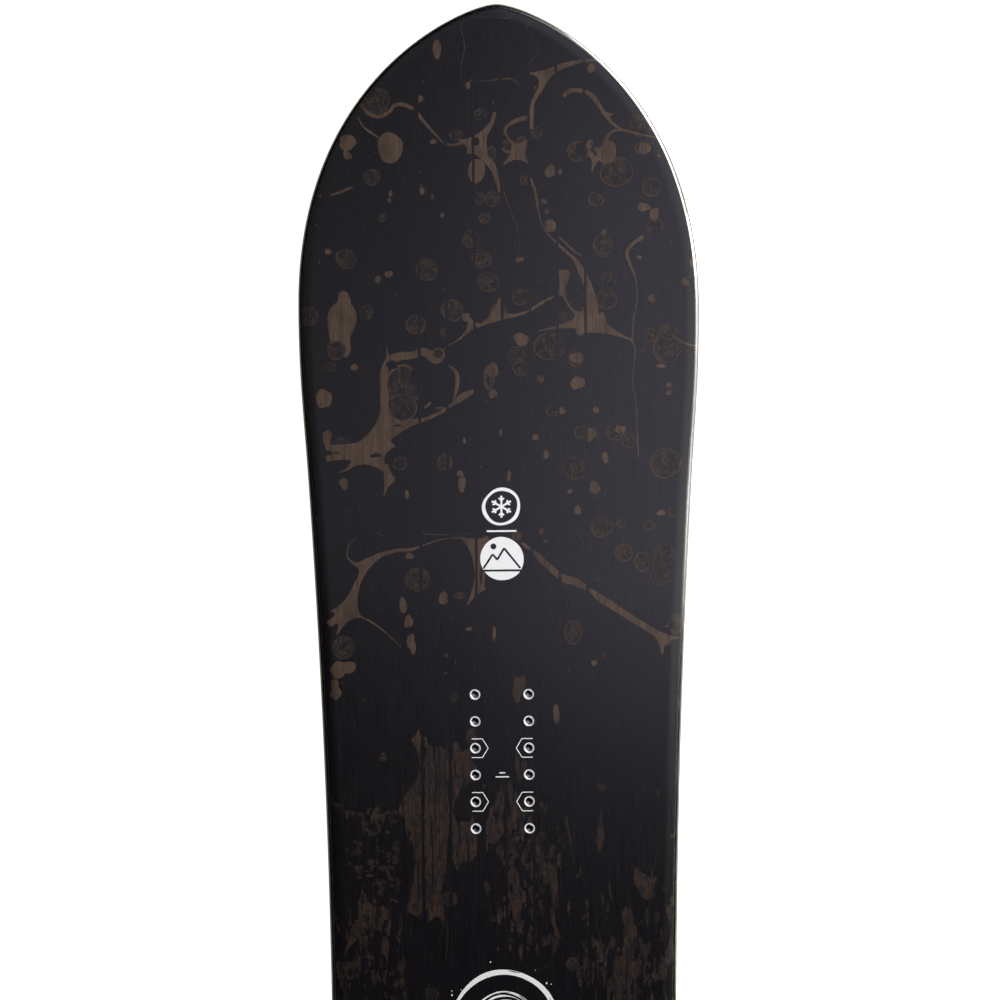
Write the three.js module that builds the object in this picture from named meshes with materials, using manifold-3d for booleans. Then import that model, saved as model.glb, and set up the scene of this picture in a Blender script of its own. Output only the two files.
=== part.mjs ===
// A directional snowboard without bindings, as the stack of pieces that is pressed into one board:
// base, steel edges, edge rubber, lower laminate, glued-up wood core in its sidewalls and tip fillers,
// upper laminate, veneer topsheet, and the threaded inserts that a binding is screwed to.
// Millimetres. X across, Y towards the nose, Z up. The origin is on the base, midway between the tips.

import * as THREE from "three";
import { mergeVertices } from "three/addons/utils/BufferGeometryUtils.js";
import Module from "manifold-3d";

// Plan: a long soft point at the nose, a shorter and blunter one at the tail.
const LENGTH = 1560;
const TIP_Y = LENGTH / 2;
const NOSE_WIDTH = 299;
const WAIST_WIDTH = 256;
const TAIL_WIDTH = 284;
const WAIST_Y = TIP_Y - 835; // the narrowest place, a little behind the middle
const NOSE_CURVE = { reach: 224, handle: 173, tipHandle: 22 }; // tip to the widest place
const TAIL_CURVE = { reach: 172, handle: 108, tipHandle: 58 };
const SIDECUT_RADIUS = { front: 7700, rear: 8600 };
const SHOULDER = { front: 134, rear: 110, handle: 0.42 }; // blend from the widest place to the sidecut

// Side view: flat between the contact lines, then a rising nose and tail.
const NOSE_KICK = { length: 380, height: 62, power: 2.2 };
const TAIL_KICK = { length: 250, height: 40, power: 2.2 };

// The stack, measured up from the base's underside. BOND is the glue line between two layers.
const BOND = 0.12;
const BASE_THICKNESS = 1.3;
const EDGE = { width: 2, height: 1.85, flangeReach: 7.5, flangeThickness: 0.45 };
const RUBBER = { inset: 0.5, reach: 9.5, thickness: 0.2 };
const RUBBER_TOP = EDGE.height + BOND + RUBBER.thickness;
const LOWER_LAMINATE_TOP = RUBBER_TOP + BOND + 0.4;
const CORE_BOTTOM = LOWER_LAMINATE_TOP + BOND;
const CORE_THICKNESS = { middle: 6.4, tips: 1.9 };
const UPPER_LAMINATE_THICKNESS = 0.8;
const TOPSHEET_THICKNESS = 0.6;

// Where the core is at full thickness, and how far inside the outline each line of the stack runs.
const FULL_CORE = { front: 330, rear: -470 };
const LAMINATE_INSET = 0.3;
const BEVEL_INSET = 2.8; // the sidewall's bevel takes this width all round
const ROLL_INSET = 11; // the top rolls down to the bevel outside this line
const ROLL_SHARE = 0.31; // how far it rolls down, as a share of the core's thickness
const TOP_LINES = [BEVEL_INSET, 6.5, ROLL_INSET];
const CORE_INSET = { middle: 12, tips: 27 };
const FRAME_CUTS = { front: TIP_Y - 238, rear: -TIP_Y + 186, gap: 0.3 }; // sidewalls meet tip fillers

// The core: one centre strip and five each side, glued edge to edge.
const STRIP_EDGES = [10, 30, 52, 76, 100, 160];
const STRIP_NAMES = ["insert_stringer", "inner_strip", "middle_strip", "outer_strip", "rail_strip"];

// Two packs of threaded inserts, two columns of six each.
const INSERT_PACKS = [
  { name: "front", referenceY: 206, rows: [60, 40, 20, 0, -20, -40] },
  { name: "rear", referenceY: -354, rows: [40, 20, 0, -20, -40, -60] },
];
const INSERT_COLUMN_X = 20;
const INSERT = {
  barrelRadius: 4,
  flangeRadius: 8,
  flangeThickness: 1,
  boreRadius: 2.6,
  floorThickness: 1.2,
  belowTop: 0.1,
  clearance: 0.25,
  sides: 10,
};

const FINISHES = {
  base: { color: 0x0d0d0f, roughness: 0.45, metalness: 0 },
  steel: { color: 0xb9bcc0, roughness: 0.3, metalness: 1 },
  rubber: { color: 0x151515, roughness: 0.85, metalness: 0 },
  laminate: { color: 0xc9c3a4, roughness: 0.4, metalness: 0 },
  core: { color: 0xd8bd8c, roughness: 0.65, metalness: 0 },
  stringer: { color: 0xb98f5e, roughness: 0.65, metalness: 0 },
  sidewall: { color: 0x101011, roughness: 0.3, metalness: 0 },
  topsheet: { color: 0x17151a, roughness: 0.35, metalness: 0 },
  insert: { color: 0xd6d8da, roughness: 0.2, metalness: 1 },
};

const STEPS = { tip: 13, shoulder: 3, sidecut: 5 };

const wasm = await Module();
wasm.setup();

const board = new THREE.Group();
board.name = "snowboard";

// ---- outline and side view ----

// Half width and its slope along Y on one sidecut arc.
function sidecutAt(y, radius) {
  const along = y - WAIST_Y;
  const rise = radius - Math.sqrt(radius ** 2 - along ** 2);
  return { x: WAIST_WIDTH / 2 + rise, slope: along / Math.sqrt(radius ** 2 - along ** 2) };
}

// The tip, its shoulder and half of the sidecut, from the tip's point to the waist, on the right side.
// towards is 1 for the nose and -1 for the tail.
function halfRail(towards, halfWidth, curve, shoulder, radius) {
  const tipY = towards * TIP_Y;
  const widestY = tipY - towards * curve.reach;
  const shoulderY = widestY - towards * shoulder;
  const join = sidecutAt(shoulderY, radius);
  const pull = shoulder * SHOULDER.handle;
  const tip = new THREE.CubicBezierCurve(
    new THREE.Vector2(0, tipY),
    new THREE.Vector2(curve.tipHandle, tipY),
    new THREE.Vector2(halfWidth, widestY + towards * curve.handle),
    new THREE.Vector2(halfWidth, widestY),
  );
  const blend = new THREE.CubicBezierCurve(
    new THREE.Vector2(halfWidth, widestY),
    new THREE.Vector2(halfWidth, widestY - towards * pull),
    new THREE.Vector2(join.x + towards * pull * join.slope, shoulderY + towards * pull),
    new THREE.Vector2(join.x, shoulderY),
  );
  const points = [...tip.getPoints(STEPS.tip), ...blend.getPoints(STEPS.shoulder).slice(1)];
  for (let i = 1; i <= STEPS.sidecut; i += 1) {
    const y = THREE.MathUtils.lerp(shoulderY, WAIST_Y, i / STEPS.sidecut);
    points.push(new THREE.Vector2(sidecutAt(y, radius).x, y));
  }
  return points;
}

// The right side's outline from the tail's point to the nose's point.
function rightOutline() {
  const nose = halfRail(1, NOSE_WIDTH / 2, NOSE_CURVE, SHOULDER.front, SIDECUT_RADIUS.front);
  const tail = halfRail(-1, TAIL_WIDTH / 2, TAIL_CURVE, SHOULDER.rear, SIDECUT_RADIUS.rear);
  return [...tail.slice(0, -1), ...nose.reverse()];
}

// The unit vector into the board at each outline point.
function inwardNormals(points) {
  return points.map((point, i) => {
    if (i === 0 || i === points.length - 1) return new THREE.Vector2(0, -Math.sign(point.y));
    const along = points[i + 1].clone().sub(points[i - 1]).normalize();
    return new THREE.Vector2(-along.y, along.x);
  });
}

const OUTLINE = rightOutline();
const INWARD = inwardNormals(OUTLINE);

// Height of the base's underside over the ground, and how much steeper ground stretches a vertical gap.
function kickAt(y) {
  const kick = y > 0 ? NOSE_KICK : TAIL_KICK;
  const along = Math.max(0, (Math.abs(y) - (TIP_Y - kick.length)) / kick.length);
  const height = kick.height * along ** kick.power;
  const slope = (kick.power * kick.height * along ** (kick.power - 1)) / kick.length;
  return { height, stretch: Math.hypot(1, slope) };
}

// How much of the way to its own tip a place has come, from a line near the nose or one near the tail.
function shareToTip(y, { front, rear }) {
  const [start, tip] = y > 0 ? [front, TIP_Y] : [rear, -TIP_Y];
  return THREE.MathUtils.clamp((y - start) / (tip - start), 0, 1);
}

function coreThicknessAt(y) {
  return THREE.MathUtils.lerp(CORE_THICKNESS.middle, CORE_THICKNESS.tips, shareToTip(y, FULL_CORE));
}

// How far the top has rolled down at a distance inside the outline.
function rollAt(inset, y) {
  const share = Math.max(0, (ROLL_INSET - inset) / (ROLL_INSET - BEVEL_INSET));
  return ROLL_SHARE * coreThicknessAt(y) * share ** 2;
}

function coreTop(inset, y) {
  return CORE_BOTTOM + coreThicknessAt(y) - rollAt(inset, y);
}

function upperLaminateTop(inset, y) {
  return coreTop(inset, y) + BOND + UPPER_LAMINATE_THICKNESS;
}

function topsheetTop(inset, y) {
  return upperLaminateTop(inset, y) + BOND + TOPSHEET_THICKNESS;
}

// ---- solids ----

// A sheet that follows the outline and the side view. insets lists the distances inside the outline of
// its lines of points, outermost first, as numbers or functions of Y. low and high give the height of
// its two faces over the base's underside, from the inset and Y.
function sheet(insets, low, high) {
  const last = OUTLINE.length - 1;
  const positions = [];
  const row = [];
  const addPoint = (x, y, inset) => {
    const { height, stretch } = kickAt(y);
    positions.push(x, y, height + low(inset, y) * stretch, x, y, height + high(inset, y) * stretch);
    return positions.length / 3 - 2;
  };
  OUTLINE.forEach((point, i) => {
    const atTip = i === 0 || i === last;
    const right = insets.map((given) => {
      const inset = typeof given === "function" ? given(point.y) : given;
      const x = atTip ? 0 : point.x + INWARD[i].x * inset;
      const y = point.y + INWARD[i].y * inset;
      return { x, y, inset };
    });
    const rightIds = right.map(({ x, y, inset }) => addPoint(x, y, inset));
    const leftIds = atTip ? rightIds : right.map(({ x, y, inset }) => addPoint(-x, y, inset));
    row.push([...leftIds, ...rightIds.toReversed()]);
  });
  const triangles = [];
  const addTriangle = (a, b, c) => {
    if (a !== b && b !== c && c !== a) triangles.push(a, b, c);
  };
  const addQuad = (a, b, c, d) => {
    addTriangle(a, b, c);
    addTriangle(a, c, d);
  };
  const across = 2 * insets.length - 1;
  for (let i = 0; i < last; i += 1) {
    for (let j = 0; j < across; j += 1) {
      const [a, b, c, d] = [row[i][j], row[i][j + 1], row[i + 1][j + 1], row[i + 1][j]];
      addQuad(a + 1, b + 1, c + 1, d + 1);
      addQuad(d, c, b, a);
    }
    const [leftNear, leftFar] = [row[i][0], row[i + 1][0]];
    const [rightNear, rightFar] = [row[i][across], row[i + 1][across]];
    addQuad(leftNear, leftNear + 1, leftFar + 1, leftFar);
    addQuad(rightFar, rightFar + 1, rightNear + 1, rightNear);
  }
  const geometry = new THREE.BufferGeometry();
  geometry.setAttribute("position", new THREE.Float32BufferAttribute(positions, 3));
  geometry.setIndex(triangles);
  return solidFrom(geometry);
}

function solidFrom(geometry) {
  const bare = geometry.clone();
  bare.deleteAttribute("normal");
  bare.deleteAttribute("uv");
  const merged = mergeVertices(bare, 1e-4);
  return new wasm.Manifold(
    new wasm.Mesh({
      numProp: 3,
      vertProperties: merged.attributes.position.array,
      triVerts: new Uint32Array(merged.index.array),
    }),
  );
}

function geometryFrom(solid) {
  const made = solid.getMesh();
  const geometry = new THREE.BufferGeometry();
  const coordinates = new Float32Array(made.vertProperties);
  geometry.setAttribute("position", new THREE.BufferAttribute(coordinates, 3));
  geometry.setIndex(new THREE.BufferAttribute(new Uint32Array(made.triVerts), 1));
  return geometry;
}

// A block between two places, tall enough to cut right through the board.
function block(fromX, toX, fromY, toY) {
  const tall = 400;
  const box = new THREE.BoxGeometry(toX - fromX, toY - fromY, tall);
  box.translate((fromX + toX) / 2, (fromY + toY) / 2, 0);
  return solidFrom(box);
}

function add(name, geometry, finish) {
  const mesh = new THREE.Mesh(geometry, new THREE.MeshStandardMaterial(FINISHES[finish]));
  mesh.name = name;
  board.add(mesh);
  return mesh;
}

function addSolid(name, solid, finish) {
  return add(name, geometryFrom(solid), finish);
}

// The right and left halves of a ring, with a small gap where they meet at the tips.
function addHalves(name, ring, finish) {
  const gap = FRAME_CUTS.gap / 2;
  addSolid(`${name}_left`, ring.intersect(block(-NOSE_WIDTH, -gap, -LENGTH, LENGTH)), finish);
  addSolid(`${name}_right`, ring.intersect(block(gap, NOSE_WIDTH, -LENGTH, LENGTH)), finish);
}

const constant = (height) => () => height;
const raised = (heightAt, by) => (inset, y) => heightAt(inset, y) + by;
const fromTheGround = constant(-5);
const overTheTop = constant(40);

// ---- inserts and the holes for them ----

function insertPlaces() {
  return INSERT_PACKS.flatMap(({ name, referenceY, rows }) =>
    rows.flatMap((offset, i) =>
      [-1, 1].map((side) => ({
        name: `insert_${name}_${side < 0 ? "left" : "right"}_${i + 1}`,
        x: side * INSERT_COLUMN_X,
        y: referenceY + offset,
      })),
    ),
  );
}

// A flanged barrel with a blind threaded bore, open at the top.
function insertGeometry() {
  const top = topsheetTop(ROLL_INSET, WAIST_Y) - INSERT.belowTop;
  const seat = CORE_BOTTOM;
  const boreFloor = seat + INSERT.floorThickness;
  const profile = [
    [0, seat],
    [INSERT.flangeRadius, seat],
    [INSERT.flangeRadius, seat + INSERT.flangeThickness],
    [INSERT.barrelRadius, seat + INSERT.flangeThickness],
    [INSERT.barrelRadius, top],
    [INSERT.boreRadius, top],
    [INSERT.boreRadius, boreFloor],
    [0, boreFloor],
  ].map(([radius, height]) => new THREE.Vector2(radius, height));
  return new THREE.LatheGeometry(profile, INSERT.sides).rotateX(Math.PI / 2);
}

function peg(place, radius, fromZ, toZ) {
  const pin = new THREE.CylinderGeometry(radius, radius, toZ - fromZ, INSERT.sides);
  pin.rotateX(Math.PI / 2);
  pin.translate(place.x, place.y, (fromZ + toZ) / 2);
  return solidFrom(pin);
}

// Everything an insert needs cut out of the layers around it.
function insertHoles() {
  const counterboreTop = CORE_BOTTOM + INSERT.flangeThickness + INSERT.clearance;
  const pegs = insertPlaces().flatMap((place) => [
    peg(place, INSERT.barrelRadius + INSERT.clearance, CORE_BOTTOM - 0.05, overTheTop()),
    peg(place, INSERT.flangeRadius + INSERT.clearance, CORE_BOTTOM - 0.05, counterboreTop),
  ]);
  return pegs.reduce((all, one) => all.add(one));
}

// ---- the pieces ----

function addBaseAndEdges() {
  const baseInset = EDGE.width + BOND;
  addSolid("base", sheet([baseInset], constant(0), constant(BASE_THICKNESS)), "base");
  const flangeBottom = BASE_THICKNESS + BOND;
  const flangeTop = flangeBottom + EDGE.flangeThickness;
  const ring = sheet([0], constant(0), constant(EDGE.height))
    .subtract(sheet([EDGE.width], fromTheGround, constant(flangeBottom)))
    .subtract(sheet([EDGE.width], constant(flangeTop), overTheTop))
    .subtract(sheet([EDGE.flangeReach], fromTheGround, overTheTop));
  addHalves("steel_edge", ring, "steel");
}

function addEdgeRubber() {
  const ring = sheet([RUBBER.inset], constant(EDGE.height + BOND), constant(RUBBER_TOP)).subtract(
    sheet([RUBBER.reach], fromTheGround, overTheTop),
  );
  addHalves("edge_rubber", ring, "rubber");
}

// Full thickness in the middle, and stepped up over the edge flange and its rubber.
function addLowerLaminate() {
  const overRubber = sheet(
    [LAMINATE_INSET],
    constant(RUBBER_TOP + BOND),
    constant(LOWER_LAMINATE_TOP),
  );
  const middle = sheet(
    [RUBBER.reach + BOND],
    constant(BASE_THICKNESS + BOND),
    constant(LOWER_LAMINATE_TOP),
  );
  addSolid("lower_laminate", overRubber.add(middle), "laminate");
}

// Narrow in the body, wide round the tips.
function coreInset(y) {
  const widening = THREE.MathUtils.smoothstep(shareToTip(y, FRAME_CUTS), 0, 1);
  return THREE.MathUtils.lerp(CORE_INSET.middle, CORE_INSET.tips, widening);
}

// The glued-up core, cut into its strips.
function addCore(holes) {
  const core = sheet([coreInset], constant(CORE_BOTTOM), coreTop).subtract(holes);
  const halfGlue = BOND / 2;
  const strip = (fromX, toX) =>
    core.intersect(block(fromX + halfGlue, toX - halfGlue, -LENGTH, LENGTH));
  const firstEdge = STRIP_EDGES[0];
  addSolid("core_centre_strip", strip(-firstEdge, firstEdge), "core");
  STRIP_NAMES.forEach((name, i) => {
    const [near, far] = [STRIP_EDGES[i], STRIP_EDGES[i + 1]];
    const finish = name === "insert_stringer" ? "stringer" : "core";
    addSolid(`core_${name}_left`, strip(-far, -near), finish);
    addSolid(`core_${name}_right`, strip(near, far), finish);
  });
}

// The frame round the core: a sidewall down each side and a filler in each tip, all with one bevel.
function addFrame() {
  const bevelFoot = RUBBER.inset;
  const bevelled = (inset, y) => (inset <= bevelFoot ? CORE_BOTTOM + 0.3 : coreTop(inset, y));
  const insideCore = (y) => coreInset(y) - BOND;
  const ring = sheet([bevelFoot, ...TOP_LINES], constant(CORE_BOTTOM), bevelled)
    .subtract(sheet([insideCore], fromTheGround, overTheTop));
  const { front, rear, gap } = FRAME_CUTS;
  const wide = NOSE_WIDTH;
  addSolid("nose_filler", ring.intersect(block(-wide, wide, front + gap, LENGTH)), "sidewall");
  addSolid("tail_filler", ring.intersect(block(-wide, wide, -LENGTH, rear - gap)), "sidewall");
  addSolid("sidewall_left", ring.intersect(block(-wide, 0, rear, front)), "sidewall");
  addSolid("sidewall_right", ring.intersect(block(0, wide, rear, front)), "sidewall");
}

function addTopLayers(holes) {
  const laminate = sheet(TOP_LINES, raised(coreTop, BOND), upperLaminateTop);
  addSolid("upper_laminate", laminate.subtract(holes), "laminate");
  const topsheet = sheet(TOP_LINES, raised(upperLaminateTop, BOND), topsheetTop);
  addSolid("topsheet", topsheet.subtract(holes), "topsheet");
}

function addInserts() {
  const geometry = insertGeometry();
  insertPlaces().forEach(({ name, x, y }) => {
    add(name, geometry, "insert").position.set(x, y, 0);
  });
}

const HOLES = insertHoles();
addBaseAndEdges();
addEdgeRubber();
addLowerLaminate();
addCore(HOLES);
addFrame();
addTopLayers(HOLES);
addInserts();

export default board;
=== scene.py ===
"""Looks for a bare directional snowboard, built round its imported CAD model.

The board stands in the frame of the CAD model: X to the right, Y towards the nose, Z up, in metres.
Shapes are worked out in millimetres, as a board maker would, and scaled as a mesh is made.
"""

import math
import random

import bmesh
import bpy
import numpy as np
from bpy.props import (
    FloatProperty,
    FloatVectorProperty,
    IntProperty,
    PointerProperty,
)
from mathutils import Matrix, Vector, geometry


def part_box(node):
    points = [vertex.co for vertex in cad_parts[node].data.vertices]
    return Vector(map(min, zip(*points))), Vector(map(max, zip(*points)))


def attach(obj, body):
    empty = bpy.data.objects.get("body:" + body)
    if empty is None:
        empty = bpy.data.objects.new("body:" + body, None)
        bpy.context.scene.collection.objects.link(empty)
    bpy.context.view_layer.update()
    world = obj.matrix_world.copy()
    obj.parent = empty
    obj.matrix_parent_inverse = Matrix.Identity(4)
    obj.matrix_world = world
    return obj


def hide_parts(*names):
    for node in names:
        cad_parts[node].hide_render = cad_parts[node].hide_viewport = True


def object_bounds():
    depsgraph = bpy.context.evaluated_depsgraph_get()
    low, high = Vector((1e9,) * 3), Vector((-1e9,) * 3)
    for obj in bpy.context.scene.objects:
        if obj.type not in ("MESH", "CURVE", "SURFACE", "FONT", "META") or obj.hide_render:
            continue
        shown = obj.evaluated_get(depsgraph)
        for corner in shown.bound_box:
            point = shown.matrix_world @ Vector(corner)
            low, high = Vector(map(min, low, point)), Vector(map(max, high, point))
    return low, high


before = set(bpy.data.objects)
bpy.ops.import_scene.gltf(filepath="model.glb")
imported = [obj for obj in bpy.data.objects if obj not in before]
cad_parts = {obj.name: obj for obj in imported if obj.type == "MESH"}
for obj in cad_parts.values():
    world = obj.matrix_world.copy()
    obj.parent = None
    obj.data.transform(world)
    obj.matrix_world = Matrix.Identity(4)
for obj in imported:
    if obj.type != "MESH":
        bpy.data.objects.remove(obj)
CAD_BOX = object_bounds()

bl_info = {
    "name": "Snowboard",
    "version": (1, 0, 0),
    "blender": (4, 5, 0),
    "location": "View3D > Sidebar > Snowboard",
    "description": "Topsheet, inserts, frame, edges and base of a bare snowboard",
    "category": "Add Mesh",
}

MM = 0.001
ROOT = "root"

# The stack, in mm over the base's underside, and how far inside the outline its lines run.
BOND = 0.12
BASE_THICKNESS = 1.3
EDGE_WIDTH, EDGE_HEIGHT = 2.0, 1.85
FLANGE_REACH, FLANGE_THICKNESS = 7.5, 0.45
RUBBER_REACH, RUBBER_THICKNESS = 9.5, 0.2
RUBBER_TOP = EDGE_HEIGHT + BOND + RUBBER_THICKNESS
LOWER_LAMINATE_TOP = RUBBER_TOP + BOND + 0.4
CORE_BOTTOM = LOWER_LAMINATE_TOP + BOND
CORE_MIDDLE, CORE_TIPS = 6.4, 1.9
UPPER_LAMINATE, TOPSHEET = 0.8, 0.6
FULL_CORE = (330.0, -470.0)  # the core is at full thickness between these two places along Y
BEVEL_INSET, ROLL_INSET, ROLL_SHARE = 2.8, 11.0, 0.31
LEDGE, BEVEL_SLOPE = 0.95, 0.84  # the strip of steel left bare, and the bevel's rise over its width
LIP_DROP, LIP_REACH = 0.25, 0.45  # the topsheet's rim is rounded down by so much, over so wide a strip
CORE_INSET_MIDDLE, CORE_INSET_TIPS = 12.0, 27.0
INNER_LINE = 40.0  # how far inside the outline a full sheet's innermost grid line runs
TOPSHEET_HOLE, LAMINATE_HOLE = 4.1, 4.25  # radii round the inserts' barrels


# ---------------------------------------------------------------- settings


def length_setting(name, description, default):
    return FloatProperty(name=name, description=description, default=default, unit="LENGTH")


def power_setting(name, description, default):
    return FloatProperty(name=name, description=description, default=default, unit="POWER")


def colour_setting(name, description, default):
    return FloatVectorProperty(
        name=name, description=description, default=default, subtype="COLOR", size=3, min=0, max=1
    )


class BoardSettings(bpy.types.PropertyGroup):
    length: length_setting(
        "Length", "From tip to tail, seen from above", round(CAD_BOX[1][1] - CAD_BOX[0][1], 3)
    )
    nose_width: length_setting("Nose width", "Across the widest place of the nose", 0.299)
    waist_width: length_setting("Waist width", "Across the narrowest place", 0.256)
    tail_width: length_setting("Tail width", "Across the widest place of the tail", 0.284)


class TopsheetSettings(bpy.types.PropertyGroup):
    lacquer: colour_setting("Lacquer", "Colour of the black lacquer", (0.0032, 0.0024, 0.0033))
    veneer: colour_setting("Veneer", "Colour of the bare veneer in the marbling", (0.063, 0.038, 0.0235))
    print_white: colour_setting("Print", "Colour of the printed marks", (0.86, 0.86, 0.86))
    joint_pitch: length_setting(
        "Veneer joint pitch", "Distance between the joints of the veneer's strips", 0.0207
    )
    joint_width: length_setting(
        "Veneer joint width", "Width of the lacquer line that fills a joint", 0.0019
    )
    droplets: IntProperty(
        name="Droplets",
        description="Number of small scattered drops in the marbling",
        default=620,
        min=0,
    )
    seed: IntProperty(name="Seed", description="Seed of the scattered marbling", default=11)


class InsertSettings(bpy.types.PropertyGroup):
    column_spacing: length_setting(
        "Column spacing", "Across the board, between the two columns of a pack", 0.04
    )
    row_spacing: length_setting("Row spacing", "Along the board, between the rows of a pack", 0.02)
    rows: IntProperty(name="Rows", description="Rows in a pack", default=6, min=1)
    thread_radius: length_setting("Thread radius", "Outer radius of the M6 thread", 0.003)
    thread_pitch: length_setting("Thread pitch", "Pitch of the M6 thread", 0.001)


class StageSettings(bpy.types.PropertyGroup):
    card_power: power_setting(
        "Side card", "Power of the upright card at the nose's right, which its bevel reflects", 33.0
    )
    rail_power: power_setting(
        "Rail card", "Power of the far card that the bevel reflects behind the nose", 3.6
    )
    arch_power: power_setting(
        "Arch card", "Power of the card that leans over the right of the tip", 0.8
    )
    spot_power: power_setting(
        "Spot", "Power of the small lamp over the right edge, which makes the sheen there", 0.36
    )
    left_power: power_setting(
        "Left card", "Power of the weak card that the rolled left edge reflects", 0.17
    )
    edge_power: power_setting(
        "Edge card", "Power of the card that the rolled right edge reflects", 0.62
    )
    veil_power: power_setting(
        "Veil", "Power of the faint strip over the nose, which veils the lacquer", 0.14
    )
    fill_power: power_setting("Fill", "Power of the light from the tail and left", 27.0)


SETTINGS = {
    "board": BoardSettings,
    "topsheet": TopsheetSettings,
    "inserts": InsertSettings,
    "stage": StageSettings,
}


def settings(group):
    return getattr(bpy.context.scene, f"snowboard_{group}")


# ---------------------------------------------------------------- the board's shape, in mm


def bezier(points, steps):
    """Evenly stepped points on a cubic curve, the first included and the last left out."""
    t = np.linspace(0, 1, steps, endpoint=False)[:, None]
    a, b, c, d = (np.array(p, float) for p in points)
    return a * (1 - t) ** 3 + 3 * b * t * (1 - t) ** 2 + 3 * c * t**2 * (1 - t) + d * t**3


class Shape:
    """The board's plan and side view: its right-hand rail from tail to nose, and heights over the floor."""

    nose_curve = {"reach": 224, "handle": 173, "tip_handle": 22, "shoulder": 134, "radius": 7700}
    tail_curve = {"reach": 172, "handle": 108, "tip_handle": 58, "shoulder": 110, "radius": 8600}
    nose_kick = (380, 62, 2.2)
    tail_kick = (250, 40, 2.2)
    shoulder_pull = 0.42

    def __init__(self):
        size = settings("board")
        self.tip = size.length / MM / 2
        self.waist_y = self.tip - 835
        self.half_waist = size.waist_width / MM / 2
        self.half_nose = size.nose_width / MM / 2
        self.half_tail = size.tail_width / MM / 2
        self.rail = self.make_rail(1)
        self.fine_rail = self.make_rail(4)

    def sidecut(self, y, radius):
        along = y - self.waist_y
        depth = np.sqrt(radius**2 - along**2)
        return self.half_waist + radius - depth, along / depth

    def half_rail(self, towards, half_width, curve, fineness):
        tip_y = towards * self.tip
        widest = tip_y - towards * curve["reach"]
        shoulder = widest - towards * curve["shoulder"]
        join, slope = self.sidecut(shoulder, curve["radius"])
        pull = towards * curve["shoulder"] * self.shoulder_pull
        tip = bezier(
            [
                (0, tip_y),
                (curve["tip_handle"], tip_y),
                (half_width, widest + towards * curve["handle"]),
                (half_width, widest),
            ],
            52 * fineness,
        )
        blend = bezier(
            [
                (half_width, widest),
                (half_width, widest - pull),
                (join + pull * slope, shoulder + pull),
                (join, shoulder),
            ],
            14 * fineness,
        )
        side_y = np.linspace(shoulder, self.waist_y, 30 * fineness + 1)
        side = np.stack([self.sidecut(side_y, curve["radius"])[0], side_y], 1)
        return np.concatenate([tip, blend, side])

    def make_rail(self, fineness):
        nose = self.half_rail(1, self.half_nose, self.nose_curve, fineness)
        tail = self.half_rail(-1, self.half_tail, self.tail_curve, fineness)
        return np.concatenate([tail[:-1], nose[::-1]])

    def inward(self, rail):
        """Unit vectors into the board at each point of a right-hand rail."""
        along = np.gradient(rail, axis=0)
        along /= np.linalg.norm(along, axis=1)[:, None]
        normal = np.stack([-along[:, 1], along[:, 0]], 1)
        normal[0], normal[-1] = (0, 1), (0, -1)
        return normal

    def inset(self, x, y):
        """How far inside the outline each point lies: exact near it, over ROLL_INSET elsewhere."""
        x, y = np.abs(np.asarray(x, float)), np.asarray(y, float)
        rail = self.fine_rail
        result = np.full(x.shape, 2 * ROLL_INSET)
        order = rail[:, 1]
        half = np.interp(y, order, rail[:, 0])
        beside, behind_tip = 30, 60
        near = np.flatnonzero((half - x < beside) | (np.abs(y) > self.tip - behind_tip))
        for part in np.array_split(near, max(1, len(near) // 2000)):
            px, py = x[part][:, None], y[part][:, None]
            distance = np.hypot(px - rail[:, 0], py - rail[:, 1])
            i = np.clip(distance.argmin(1), 1, len(rail) - 2)
            best = np.full(len(part), np.inf)
            for start in (i - 1, i):
                a, b = rail[start], rail[start + 1]
                ab = b - a
                t = ((x[part] - a[:, 0]) * ab[:, 0] + (y[part] - a[:, 1]) * ab[:, 1]) / (ab**2).sum(1)
                t = np.clip(t, 0, 1)
                gap = np.hypot(x[part] - a[:, 0] - t * ab[:, 0], y[part] - a[:, 1] - t * ab[:, 1])
                best = np.minimum(best, gap)
            result[part] = np.minimum(best, 2 * ROLL_INSET)
        return result

    def kick(self, y):
        """Height of the base's underside, and how much a slope stretches a vertical gap there."""
        y = np.asarray(y, float)
        length, height, power = (np.where(y > 0, a, b) for a, b in zip(self.nose_kick, self.tail_kick))
        along = np.clip((np.abs(y) - (self.tip - length)) / length, 0, None)
        slope = power * height * along ** (power - 1) / length
        return height * along**power, np.hypot(1, slope)

    def share_to_tip(self, y, places):
        y = np.asarray(y, float)
        start = np.where(y > 0, *places)
        return np.clip((y - start) / (np.where(y > 0, self.tip, -self.tip) - start), 0, 1)

    def core_thickness(self, y):
        return CORE_MIDDLE + (CORE_TIPS - CORE_MIDDLE) * self.share_to_tip(y, FULL_CORE)

    def core_top(self, inset, y):
        rolled = np.clip((ROLL_INSET - inset) / (ROLL_INSET - BEVEL_INSET), 0, None)
        thickness = self.core_thickness(y)
        return CORE_BOTTOM + thickness - ROLL_SHARE * thickness * rolled**2

    def laminate_top(self, inset, y):
        return self.core_top(inset, y) + BOND + UPPER_LAMINATE

    def topsheet_top(self, inset, y):
        return self.laminate_top(inset, y) + BOND + TOPSHEET

    @property
    def frame_cuts(self):
        """Where the sidewalls meet the nose filler and the tail filler."""
        return self.tip - 238, -self.tip + 186

    def core_inset(self, y):
        share = self.share_to_tip(y, self.frame_cuts)
        smooth = share * share * (3 - 2 * share)
        return CORE_INSET_MIDDLE + (CORE_INSET_TIPS - CORE_INSET_MIDDLE) * smooth

    def height(self, level, y):
        """Height over the floor of a level over the base's underside."""
        rise, stretch = self.kick(y)
        return rise + level * stretch


# ---------------------------------------------------------------- meshes


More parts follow.
